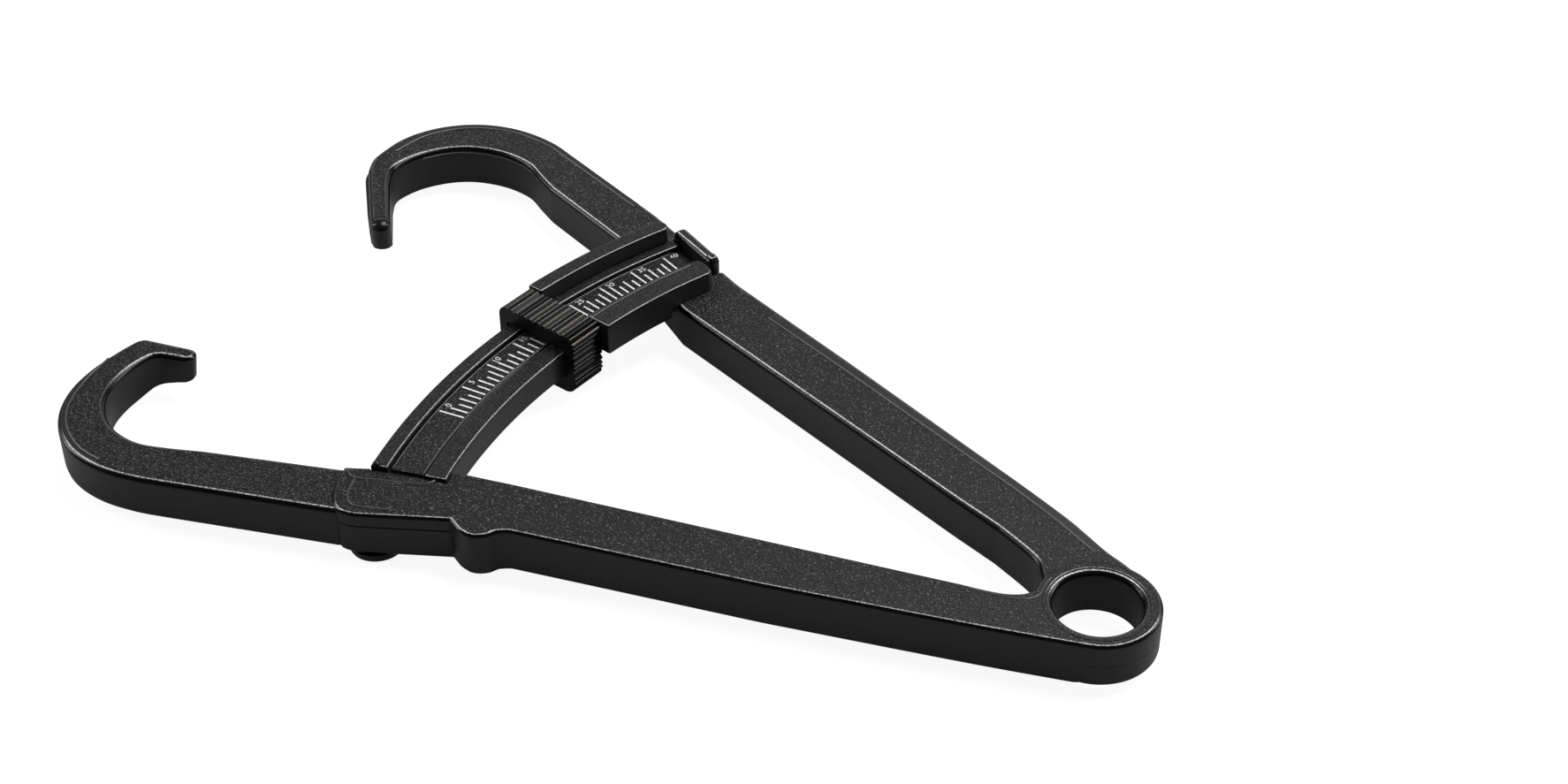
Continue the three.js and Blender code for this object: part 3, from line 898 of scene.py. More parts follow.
def beside(points: list[Pair], distance: float) -> list[Pair]:
    """The course of a line that runs beside another one, on its left side.

    Args:
        points: The first line's course.
        distance: How far to the left the second one runs.

    Returns:
        The second line's course.
    """
    moved = []
    for i, (x, y) in enumerate(points):
        before, after = points[max(i - 1, 0)], points[min(i + 1, len(points) - 1)]
        dx, dy = after[0] - before[0], after[1] - before[1]
        length = math.hypot(dx, dy)
        moved.append((x - dy / length * distance, y + dx / length * distance))
    return moved


def edge_band(points: list[Pair], reach: Pair, level: float) -> Shape:
    """The smooth band between a fine line and the outer edge of a level face.

    Args:
        points: The fine line's course.
        reach: How far to its left the band starts and ends.
        level: The height of the face.

    Returns:
        The new mesh.
    """
    near, far = (beside(points, distance) for distance in reach)
    return plate(near + far[::-1], level - 0.3, level + LAYOUT.trim_rise, 0.03, 2)


TIP_OVERRUN = 8.0
WEDGE_WIDTH = 8.0
TIP_HALF_WIDTH = 7.0
TIP_FADE = 4.0


def tip_wedge(origin: Pair, root: Pair, tip: Pair, rise: float) -> Shape:
    """The wedge below a jaw's tip, which thins it from its root on.

    Args:
        origin: Where the two places are measured from.
        root: Where the underside starts to rise.
        tip: The end of the jaw.
        rise: How much it rises there.

    Returns:
        The new mesh.
    """
    reach = math.dist(root, tip)
    past = reach + TIP_OVERRUN
    side, low = -WEDGE_WIDTH / 2, -LAYOUT.overcut
    corners = [(0.0, side, low), (past, side, low), (past, side, rise * past / reach), (0.0, side, 0.0)]
    bm = pulled(loop_mesh(corners), (0.0, WEDGE_WIDTH, 0.0))
    turn = math.atan2(tip[1] - root[1], tip[0] - root[0])
    start = Matrix.Translation((origin[0] + root[0], origin[1] + root[1], 0))
    bmesh.ops.transform(bm, matrix=start @ Matrix.Rotation(turn, 4, "Z"), verts=bm.verts[:])
    return bm


def thin_tip(
    bm: Shape, origin: Pair, root: Pair, tip: Pair, rise: float, height: float, draw: float = 0.8
) -> None:
    """Lifts the underside of a jaw's tip evenly from its root on, and keeps its rounded edges.

    Args:
        bm: The jaw.
        origin: Where the two places are measured from.
        root: Where the underside starts to rise.
        tip: The end of the jaw.
        rise: How much it rises there.
        height: The jaw's height, which stays level.
        draw: How far the end of the underside is drawn back.
    """
    start = Vector((origin[0] + root[0], origin[1] + root[1], 0.0))
    along = Vector((tip[0] - root[0], tip[1] - root[1], 0.0))
    reach = along.length
    along.normalize()
    across = Vector((-along.y, along.x, 0.0))
    bmesh.ops.bisect_plane(bm, geom=bm.verts[:] + bm.edges[:] + bm.faces[:], plane_co=start, plane_no=along)
    for vert in bm.verts:
        way = vert.co - start
        hold = min(1.0, (TIP_HALF_WIDTH - abs(way.dot(across))) / TIP_FADE)
        if 0.0 < way.dot(along) < reach + TIP_OVERRUN and hold > 0.0:
            share = hold * way.dot(along) / reach * (1.0 - vert.co.z / height)
            vert.co += Vector((0.0, 0.0, rise * share)) - along * draw * share


def block_outline() -> list[Pair]:
    """Outline of the lower handle with the eye, the anchor block and the thumb bump.

    Returns:
        The points of the outline.
    """
    line = Outline().arc(LAYOUT.eye_radius, -106.0, 162.0)
    line.curve((-11, 2.3), (-13.5, 2.3), (-16.5, 3.1), (-20, 4.4))
    line.about(LAYOUT.block).corners((16.1, -1.6), (6.6, 1.4), (-10.5, 2.4))
    line.curve((-11.4, -1.6), (-11.4, -5.6), (-10.1, -8.4), (-7.4, -9.5))
    line.corners((7.6, -10.7), (8.9, -12.8))
    line.curve((10.5, -14.2), (12.1, -14.6), (13.8, -14.3), (15.1, -13.5), (16.9, -13.4))
    line.curve((26.1, -16.3), (56.1, -25.8), spacing=3.0)
    line.about((0.0, 0.0)).curve((-20, -4.75), polar(LAYOUT.eye_radius, -106.0), spacing=3.0)
    line.points.pop()
    return line.points


def jaw_outline() -> list[Pair]:
    """Outline of the lower jaw, from inside the block to the foot.

    Returns:
        The points of the outline.
    """
    line = Outline(LAYOUT.block).corners((-5.9, -7.6), (-5.9, 2.0), (-11.1, 2.5), (-33.9, 7.2))
    line.curve(
        (-39.9, 8.1), (-44.4, 9.2), (-47.9, 11.4), (-50.7, 14.7), (-52.2, 18.9),
        (-52.3, 22.9), (-50.9, 27.2), (-48.9, 30.4), (-46.7, 32.4), (-44.1, 32.1), (-41.5, 31.3),
    )
    line.curve((-40.2, 31.7), (-39.8, 33.1), (-40.6, 34.3), (-42.1, 34.9), spacing=0.5)
    line.corners((-49.0, 37.3))
    line.curve(
        (-50.6, 36.9), (-53.5, 33.6), (-56.6, 29.1), (-58.7, 24.4), (-59.57, 19.7), (-59.3, 15.4),
        (-58, 11.2), (-55.8, 7.4), (-52.8, 4.4), (-48.9, 1.9), (-43.9, -0.1), (-38.9, -1.4),
    )
    line.corners((-10.9, -8.0))
    return line.points


def upper_outline() -> list[Pair]:
    """Outline of the upper arm with its eye, from the crotch by the inner edge to the finger.

    Returns:
        The points of the outline.
    """
    line = Outline().arc(LAYOUT.eye_radius, 146.0, 410.0)
    line.points.reverse()
    line.curve((-8.2, 7), (-8.4, 9), (-9.8, 11.6), (-14, 17.2), spacing=0.7)
    line.corners((-20, 23.8))
    line.about(LAYOUT.notch).corners((-1.1, -15.5), (-10.6, 2.8), (-26.6, 22.8))
    line.curve(
        (-29, 26.8), (-31.2, 30.7), (-33.8, 33.2), (-36.6, 35), (-39.9, 36.3), (-43.6, 36.9),
        (-47.6, 36.4), (-51.6, 34.7), (-54.6, 32.3), (-56.5, 29.4), (-56.6, 24.8),
    )
    line.corners((-54.8, 11.8))
    line.curve((-55.2, 10.3), (-56.5, 9.7), (-57.9, 10.4), (-58.5, 11.8), spacing=0.5)
    line.corners((-61.2, 29.4))
    line.curve(
        (-60.8, 33.4), (-58.8, 37.1), (-56.8, 39.9), (-53.8, 42.6), (-49.6, 44.8), (-44.6, 45.97),
        (-39.6, 45.8), (-34.6, 44.3), (-30.5, 42), (-26.6, 38.8), (-23.5, 35.1),
    )
    line.corners((-6.6, 14.2), (8.8, -7.8), (27.4, -29.8))
    line.about((0.0, 0.0)).corners((-10, 29))
    line.curve((-5, 22.8), (-2, 18.9), (0.4, 15.3), (2.6, 12), (4.7, 9.5), polar(LAYOUT.eye_radius, 50.0))
    line.points.pop()
    return line.points


@dataclass
class LowerArm(Assembly):
    """The lower arm: hooked jaw, handle, anchor block and the upper half of the eye."""

    rim_width: float = 0.3
    band_from: int = 8
    crotch_sink: float = 0.06
    cover_gap: float = 0.24

    def build(self) -> None:
        """Builds the arm and its fine lines."""
        size = LAYOUT
        top = size.arm_height
        middle = top / 2
        arm = plate(block_outline(), 0.0, top, size.arm_edge, 5)
        jaw = plate(jaw_outline(), 0.0, top - size.jaw_drop, size.arm_edge, 5)
        thin_tip(jaw, size.block, (-49.4, 35.6), (-40.0, 32.7), 2.4, top - size.jaw_drop)
        arm = added(arm, jaw)
        gap = size.hairline
        arm = cut(
            arm,
            disc(size.eye_radius + gap, -size.overcut, middle + gap),
            disc(size.bush_outer + gap, -size.overcut, top + size.overcut),
            disc(size.lip_radius + gap, top - size.lip_depth - gap, top + size.overcut),
            arc_room(
                size.arc_end - size.block_turn, size.arc_end + size.end_turn,
                size.arc_bottom - size.running_gap,
            ),
            plate(cover_outline(), size.cover_bottom - self.cover_gap, top + size.overcut),
        )
        piece = Piece("lower_arm_shell", Body.LOWER, Slot.ARM, ("lower_arm",))
        piece.place(arm, self.finishes.arm)
        self.rim_line()

    def rim_line(self) -> None:
        """Lays the hook's fine raised line, lightened as a painted highlight, with the band outside it, and
        a soft ridge round the crotch that is a painted highlight on the rounding's top edge.
        """
        line = Outline(LAYOUT.block).corners((-54.4, 31.6))
        line.curve((-57.0, 25.0), (-58.1, 19.6), (-57.8, 15.4), (-56.5, 11.6), (-53.6, 7.4), (-50.0, 4.6))
        level = LAYOUT.arm_height - LAYOUT.jaw_drop
        bm = ridge(line.points, level - LAYOUT.trim_rise, self.rim_width)
        Piece("lower_hook_rim_line", Body.LOWER, Slot.ARM).place(bm, self.finishes.line)
        band = edge_band(line.points[self.band_from:], (-0.2, -0.85), level)
        Piece("lower_hook_edge_band", Body.LOWER, Slot.ARM).place(band, self.finishes.band)
        # A ridge in the lightened bead finish: a painted highlight along the crotch's rounding.
        crotch = Outline().corners((-19.0, 3.15))
        crotch.curve(
            (-15.6, 1.9), (-12.6, 1.1), (-10.6, 0.9), (-9.2, 1.3), (-8.4, 2.1), (-7.95, 3.15),
            (-7.25, 4.5), (-6.5, 5.55), spacing=0.5,
        )
        soft = ridge(crotch.points, LAYOUT.arm_height - self.crotch_sink, self.rim_width)
        Piece("crotch_highlight_line", Body.LOWER, Slot.ARM).place(soft, self.finishes.bead)


def cover_outline() -> list[Pair]:
    """Outline of the cover plate, past the block on its outer side.

    Returns:
        The points of the outline.
    """
    line = Outline(LAYOUT.block).corners((7.5, -13), (7.5, -4.1), (2.1, -2.6), (-10.3, 0.4))
    return line.curve((-11.3, -1.6), (-11.4, -5.6), (-10.1, -8.4)).corners((-9.9, -13)).points


@dataclass
class AnchorCover(Assembly):
    """The cover plate over the arc's tongue, with its embossed contours and the pin below."""

    bead_width: float = 0.36
    head_radius: float = 4.5
    head_height: float = 1.3
    head_edge: float = 0.45
    head_ease: float = 0.13
    tip_reach: float = 1.3
    tip_edge: float = 0.3
    bead_sink: float = 0.05

    def build(self) -> None:
        """Builds the cover, the beads on the block and the pin."""
        size = LAYOUT
        gap = size.hairline
        outline = Outline(size.block).corners(
            (7.5 - gap, -13), (7.5 - gap, -4.1 - gap), (2.1, -2.6 - gap), (-10.25, 0.4 - gap)
        )
        outline.curve((-11.26, -1.6), (-11.36, -5.6), (-10.1, -8.36)).corners((-9.9, -13))
        block = plate(block_outline(), 0.0, size.arm_height, size.arm_edge, 5)
        cover = plate(outline.points, size.cover_bottom, size.arm_height + size.overcut)
        cover = joined(cover, [block], "INTERSECT")
        room = arc_room(size.arc_end - size.block_turn, size.arc_end + size.end_turn, size.arc_bottom)
        cover = cut(cover, room)
        piece = Piece("cover_plate", Body.LOWER, Slot.ARM, ("anchor_cover",))
        piece.place(cover, self.finishes.arm)
        self.beads()
        self.pin()

    def beads(self) -> None:
        """Lays the two embossed contours on the block's top, lightened as a painted highlight."""
        top = LAYOUT.arm_height
        outer = Outline(LAYOUT.block).corners((-9.6, 1.0))
        outer.curve(
            (-8.6, -0.35), (-4.0, -1.1), (1.1, -1.95), (3.6, -1.7), (5.2, -0.2), (5.8, 0.9), spacing=0.5
        )
        inner = Outline(LAYOUT.block).corners((-8.4, -0.7))
        inner.curve((-8.9, -3.2), (-8.9, -5.4), (-7.9, -7.1), (-5.0, -7.9), (-1.0, -8.4), spacing=0.5)
        for name, line in (("block_contour", outer), ("block_inner_contour", inner)):
            bm = ridge(line.points, top - self.bead_sink, self.bead_width)
            Piece(name, Body.LOWER, Slot.ARM).place(bm, self.finishes.bead)

    def pin(self) -> None:
        """Turns the pin with its flat round head."""
        size = LAYOUT
        low = -size.seam - self.head_height
        high = -size.seam
        tip = size.cover_bottom + self.tip_reach
        head, shank, ease = self.head_radius, size.pin_radius, self.head_ease
        profile = [
            (0.0, low), (head - self.head_edge, low), (head - ease, low + ease),
            (head, low + self.head_edge), (head, high), (shank, high),
            (shank, tip - self.tip_edge), (shank - self.tip_edge, tip), (0.0, tip),
        ]
        bm = turned(profile, size.pin_place, 64)
        Piece("arc_pin", Body.LOWER, Slot.ARC, ("arc_anchor_pin",)).place(bm, self.finishes.arc)


@dataclass
class UpperArm(Assembly):
    """The upper arm: hooked jaw with its finger, handle, notch and the lower half of the eye."""

    rim_width: float = 0.32
    ball_radius: float = 1.74
    ball_rise: float = 0.5
    dome: float = 0.95
    ball_place: Pair = (-119.88, 101.85)
    ball_gap: float = 0.05
    pit_depth: float = 0.1
    finger_root: Pair = (-58.4, 28.0)
    finger_end: Pair = (-56.5, 9.8)
    finger_relief: float = 3.4
    notch_turn: float = 9.0

    def build(self) -> None:
        """Builds the arm, its finger's ball end and its fine lines."""
        size = LAYOUT
        top = size.arm_height
        gap = size.hairline
        arm = plate(upper_outline(), 0.0, top, size.arm_edge, 5)
        arm = added(arm, self.finger_skirt())
        arm = cut(
            arm,
            self.eye_room(),
            disc(size.bush_outer + gap, -size.overcut, top + size.overcut),
            disc(9.0, -size.overcut, 1.15),
            arc_room(
                size.arc_start - self.notch_turn, size.arc_start + self.notch_turn,
                size.arc_bottom - size.running_gap,
            ),
            disc(
                self.ball_radius + self.ball_gap, top + self.ball_rise - self.dome - self.pit_depth,
                top + size.overcut, self.ball_place, 40,
            ),
            *[disc(1.55, -size.overcut, 1.25, place, 40) for place in screw_places()],
        )
        wedge = (self.finger_root, self.finger_end, self.finger_relief)
        arm = cut(arm, tip_wedge(size.notch, *wedge))
        piece = Piece("upper_arm_shell", Body.UPPER, Slot.ARM, ("upper_arm",))
        piece.place(arm, self.finishes.arm)
        ball = cut(self.ball(), tip_wedge(size.notch, *wedge))
        Piece("finger_ball", Body.UPPER, Slot.ARM).place(ball, self.finishes.smooth)
        self.rim_line()

    def eye_room(self) -> Shape:
        """The room of the lower arm's eye, with its rounded edge, and all that is over it.

        Returns:
            The new mesh.
        """
        size = LAYOUT
        gap = size.hairline
        edge = size.arm_edge
        centre = (size.eye_radius - edge, size.arm_height - edge)
        rounding = bend(centre, edge + gap, edge + gap, range(0, 85, 12))
        low = size.arm_height / 2 - gap
        inner = centre[0] + 0.1
        high = 10.0
        return turned([
            (0.0, low), (size.eye_radius + gap, low), *rounding, (inner, size.arm_height), (inner, high),
            (0.0, high),
        ])

    def ball(self) -> Shape:
        """The round column with a domed top at the finger's end.

        Returns:
            The new mesh.
        """
        radius = self.ball_radius
        foot = LAYOUT.arm_height + self.ball_rise - self.dome
        dome = bend((0.0, foot), radius, self.dome, range(0, 91, 9))
        return turned([(0.0, 0.35), (radius - 0.3, 0.35), (radius, 0.75), *dome], self.ball_place, 40)

    def finger_skirt(self) -> Shape:
        """The lower part of the finger's outer side, which stands out a little.

        Returns:
            The new mesh.
        """
        line = Outline(LAYOUT.notch).corners((-58.75, 12.2), (-59.85, 17.2), (-61.6, 27.6))
        line.curve((-61.8, 29.6), (-61.3, 32.6), (-60.0, 35.6))
        line.corners((-58.6, 33.0), (-58.9, 28.0), (-58.6, 16.0), (-57.9, 12.2))
        return plate(line.points, 0.2, LAYOUT.arm_height - 1.9, 0.3, 3)

    def rim_line(self) -> None:
        """Lays the fine raised lines inside the outer edge, lightened as painted highlights, with their
        bands, and a ridge below the hook's edge that is a painted second highlight on its rounding.
        """
        level = LAYOUT.arm_height - LAYOUT.trim_rise
        line = Outline(LAYOUT.notch).corners((-57.0, 36.0))
        line.curve(
            (-53.0, 40.6), (-49.2, 43.0), (-44.5, 44.3), (-39.9, 44.2), (-35.2, 42.9),
            (-31.2, 40.6), (-27.5, 37.7), (-24.6, 34.2),
        )
        line.corners((-10.5, 17.0))
        hook = beside(line.points, -0.35)
        upper = ridge(hook, level, self.rim_width)
        Piece("upper_hook_rim_line", Body.UPPER, Slot.ARM).place(upper, self.finishes.line)
        self.band("upper_hook_edge_band", hook, (0.2, 1.1))
        # A fine ridge below the hook's inner edge, in the light line finish: a painted second highlight on
        # the rounding.
        inner = Outline(LAYOUT.notch).corners((-29, 26.8))
        inner.curve(
            (-31.2, 30.7), (-33.8, 33.2), (-36.6, 35), (-39.9, 36.3), (-43.6, 36.9), (-47.6, 36.4),
            (-51.6, 34.7),
        )
        seam = ridge(inner.points, LAYOUT.arm_height - LAYOUT.arm_edge - 0.1, 0.2)
        Piece("upper_hook_second_highlight", Body.UPPER, Slot.ARM).place(seam, self.finishes.line)
        lower = Outline().corners((-49.0, 72.5), (-36.5, 58.0), (-25.0, 44.3), (-10.0, 26.6))
        lower.curve((-5.6, 21.0), (-2.9, 17.3), (-0.4, 13.6), (1.0, 11.6))
        course = beside(lower.points, -0.5)
        bm = ridge(course, level, self.rim_width)
        Piece("upper_handle_rim_line", Body.UPPER, Slot.ARM).place(bm, self.finishes.line)
        self.band("upper_handle_edge_band", course, (0.2, 1.35))

    def band(self, name: str, points: list[Pair], reach: Pair) -> None:
        """Lays the smooth dark band between a fine line and the outer edge.

        Args:
            name: The piece's name.
            points: The fine line's course.
            reach: How far from the line the band starts and ends.
        """
        bm = edge_band(points, reach, LAYOUT.arm_height)
        Piece(name, Body.UPPER, Slot.ARM).place(bm, self.finishes.band)


def screw_places() -> list[Pair]:
    """Where the rail screws stand: two in the far rail and two in the near one.

    Returns:
        The places on the plan.
    """
    far = [polar(117.95, LAYOUT.arc_start + turn) for turn in (0.9, 2.5)]
    near = [polar(101.6, LAYOUT.arc_start + turn) for turn in (1.9, 3.9)]
    return far + near


@dataclass
class HingeRing(Assembly):
    """The open hinge: the bush, whose lip is made bright by the arm finish's painted rim highlight, and the
    retaining ring below.
    """

    lift: float = 0.1
    ledge_radius: float = 7.95
    ledge_drop: float = 0.12
    ledge_slope: float = 1.6
    foot_edge: float = 0.3
    mouth: float = 0.85
    ring_top: float = 0.9
    ring_outer: float = 8.7

    def build(self) -> None:
        """Turns the bush and the ring."""
        size = LAYOUT
        top = size.arm_height + size.trim_rise
        foot = top - self.ledge_drop
        ledge = bend(
            (self.ledge_radius, foot), self.ledge_drop * self.ledge_slope, self.ledge_drop,
            range(90, 181, 15),
        )
        centre = (size.hole_radius + self.mouth, foot - self.mouth)
        mouth = bend(centre, self.mouth, self.mouth, range(90, 181, 10))
        profile = [
            (size.hole_radius, self.lift + self.foot_edge),
            (size.hole_radius + self.foot_edge, self.lift), (size.bush_outer, self.lift),
            (size.bush_outer, top - size.lip_depth), (size.lip_radius, top - size.lip_depth),
            (size.lip_radius, top), *ledge, *mouth,
        ]
        bush = turned(profile, steps=144)
        Piece("bush", Body.LOWER, Slot.BUSH, ("hinge_bush",), 40.0).place(bush, self.finishes.arm)
        inner = size.bush_outer + size.seam
        ring = turned([
            (inner + 0.15, self.lift), (self.ring_outer - 0.2, self.lift),
            (self.ring_outer, self.lift + 0.2), (self.ring_outer, self.ring_top), (inner, self.ring_top),
            (inner, self.lift + 0.15),
        ], steps=96)
        piece = Piece("retaining_ring", Body.LOWER, Slot.BUSH, ("hinge_retaining_ring",))
        piece.place(ring, self.finishes.bush)


@dataclass
class ScaleArc(Assembly):
    """The curved beam, its strip with marks and numbers, and the end stop with its screw."""

    band_drop: float = 0.3
    groove: float = 0.3
    edge: float = 0.36
    sweep_step: float = 0.6
    tongue_inner: float = 111.0
    tongue_end: float = 169.0
    nub_radius: float = 0.68
    tick_step: float = 0.72
    tick_from: float = 127.2
    tick_to: float = 156.0
    tick_width: float = 0.34
    tick_lengths: Triple = (2.4, 3.2, 4.5)
    number_height: float = 1.6
    stop_length: float = 2.4
    stop_inset: float = 0.4
    stop_drop: float = 1.3
    stop_edge: float = 0.8
    pad_inset: float = 0.35
    pad_reach: Pair = (0.25, 2.0)
    pad_heights: Pair = (-0.7, 0.3)
    pad_edge: float = 0.3
    screw_height: float = 6.1
    bore_radius: float = 1.62
    bore_depth: float = 2.2

    def build(self) -> None:
        """Builds every piece of the arc."""
        self.beam()
        self.strip()
        self.ticks()
        self.numbers()
        self.stop()

    def beam(self) -> None:
        """Sweeps the beam with its raised outer band, its recess and its tongue, and sets the nub on it."""
        size = LAYOUT
        low = size.arc_top - self.band_drop
        floor = size.strip_floor
        near, far = size.strip_inner - 0.1, size.strip_outer + self.groove
        profile = [
            (size.arc_inner, size.arc_bottom), (size.arc_outer, size.arc_bottom),
            (size.arc_outer, size.arc_top), (far, size.arc_top), (far, floor), (near, floor), (near, low),
            (size.arc_inner, low),
        ]
        beam = swept(profile, size.arc_start, size.arc_end, self.sweep_step)
        round_edges(beam, self.edge, 3, 40.0, lambda e: min(v.co.z for v in e.verts) > floor + 0.1)
        tongue = box(
            self.tongue_inner, size.arc_outer, size.arc_end - 1.0, self.tongue_end,
            size.arc_bottom, size.arc_bottom + size.tongue_thick,
        )
        beam = cut(added(beam, tongue), disc(size.pin_radius + 0.05, 0.0, 7.0, size.pin_place, 40))
        Piece("arc_beam", Body.LOWER, Slot.ARC, ("scale_arc",)).place(beam, self.finishes.arc)
        nub = bmesh.new()
        place = (*polar(size.arc_outer - 0.8, size.arc_end - 0.2), size.arc_top - 0.1)
        bmesh.ops.create_uvsphere(
            nub, u_segments=24, v_segments=16, radius=self.nub_radius, matrix=Matrix.Translation(place)
        )
        Piece("band_nub", Body.LOWER, Slot.ARC).place(nub, self.finishes.smooth)

    def strip(self) -> None:
        """Sweeps the strip with a fine raised border line along each side, lightened as a painted highlight.
        """
        size = LAYOUT
        floor = size.strip_floor
        inner = size.strip_inner + 0.02
        outer = size.strip_outer
        face = size.strip_face
        edge = 0.08
        profile = [
            (inner, floor), (outer, floor), (outer, face - edge), (outer - edge, face),
            (inner + edge, face), (inner, face - edge),
        ]
        strip = swept(profile, size.arc_start + 0.9, size.arc_end - 0.22, self.sweep_step)
        Piece("strip", Body.LOWER, Slot.SCALE, ("scale_strip",), 20.0).place(strip, self.finishes.arm)
        border = Outline()
        border.arc(outer - 0.3, size.arc_end - 0.4, size.arc_start + 1.25, 0.7)
        border.arc(inner + 0.3, size.arc_start + 1.25, size.arc_end - 0.4, 0.7)
        bm = ridge(border.points, face + 0.02, 0.2)
        Piece("strip_border_line", Body.LOWER, Slot.SCALE).place(bm, self.finishes.line)

    def ticks(self) -> None:
        """Lays the white tick marks on the strip."""
        size = LAYOUT
        face = size.strip_face
        start = size.strip_inner + 0.65
        count = round((self.tick_to - self.tick_from) / self.tick_step)
        marks = bmesh.new()
        for i in range(count + 1):
            turn = self.tick_to - i * self.tick_step
            kind = 2 if i % 5 == 0 else i % 2
            length = self.tick_lengths[kind]
            matrix = (
                Matrix.Rotation(math.radians(turn), 4, "Z")
                @ Matrix.Translation((start + length / 2, 0, face + 0.02))
                @ Matrix.Diagonal((length, self.tick_width, 0.08, 1.0))
            )
            bmesh.ops.create_cube(marks, size=1.0, matrix=matrix)
        Piece("tick_marks", Body.LOWER, Slot.SCALE).place(marks, self.finishes.mark)

    def numbers(self) -> None:
        """Stands plain numbers beside every fifth mark."""
        size = LAYOUT
        face = size.strip_face
        digits = bmesh.new()
        count = int((self.tick_to - self.tick_from) / (5 * self.tick_step))
        for i in range(count + 1):
            turn = self.tick_to - 5 * i * self.tick_step - 0.95
            text = bpy.data.curves.new("number", "FONT")
            text.body = str(5 * i)
            text.size = self.number_height
            text.align_x = "CENTER"
            text.extrude = 0.04
            mesh = curve_mesh(text)
            mesh.transform(
                Matrix.Rotation(math.radians(turn), 4, "Z")
                @ Matrix.Translation((size.strip_inner + 4.0, 0, face + 0.03))
                @ Matrix.Rotation(math.radians(-90), 4, "Z")
            )
            digits.from_mesh(mesh)
            bpy.data.meshes.remove(mesh)
        Piece("scale_numbers", Body.LOWER, Slot.SCALE).place(digits, self.finishes.mark)

    def stop(self) -> None:
        """Builds the rounded end stop with its raised pad, and the screw that holds it."""
        size = LAYOUT
        end = size.stop_end
        start = end - degrees_along(self.stop_length, size.arc_radius)
        inner = size.arc_inner + self.stop_inset
        outer = size.arc_outer - self.stop_inset
        top = size.rail_top - self.stop_drop
        stop = swept(
            [(inner, size.arc_bottom), (outer, size.arc_bottom), (outer, top), (inner, top)], start, end, 0.7
        )
        round_edges(stop, self.stop_edge, 4, 35.0)
        inset = degrees_along(self.pad_inset, size.arc_radius)
        near, far = self.pad_reach
        low, high = self.pad_heights
        pad = box(inner + near, inner + far, start + inset, end - inset, top + low, top + high)
        round_edges(pad, self.pad_edge, 3, 35.0)
        centre = Matrix.Translation((*polar(size.arc_radius, start), self.screw_height))
        turn = Matrix.Rotation(math.radians(start), 4, "Z") @ Matrix.Rotation(math.radians(-90), 4, "X")
        axis = centre @ turn
        bore = bmesh.new()
        bmesh.ops.create_cone(
            bore, cap_ends=True, segments=40, radius1=self.bore_radius, radius2=self.bore_radius,
            depth=self.bore_depth, matrix=axis,
        )
        stop = cut(added(stop, pad), bore)
        Piece("end_stop", Body.LOWER, Slot.ARC, ("arc_end_stop",)).place(stop, self.finishes.arc)
        screw = cross_screw(1.5, 1.0, 0.8, 7.0)
        bmesh.ops.transform(screw, matrix=axis, verts=screw.verts[:])
        Piece("stop_screw", Body.LOWER, Slot.SCREW, ("arc_stop_screw",)).place(screw, self.finishes.screw)


def cross_screw(head: float, head_height: float, shank: float, length: float) -> Shape:
    """A screw with its head's outer face at the origin and its shank along +Z.

    Args:
        head: The head's radius.
        head_height: The head's height.
        shank: The shank's radius.
        length: The whole length.

    Returns:
        The new mesh.
    """
    bm = turned([
        (0.0, 0.0), (head * 0.55, 0.02), (head * 0.86, 0.14), (head, 0.42), (head, head_height),
        (shank, head_height), (shank, length - 0.3), (shank * 0.7, length), (0.0, length),
    ], steps=40)
    arms = []
    for turn in (0.0, 90.0):
        slot = bmesh.new()
        stretch = Matrix.Diagonal((head * 1.25, head * 0.26, 0.9, 1.0))
        matrix = Matrix.Rotation(math.radians(turn), 4, "Z") @ stretch
        bmesh.ops.create_cube(slot, size=1.0, matrix=matrix)
        arms.append(slot)
    return cut(bm, *arms)


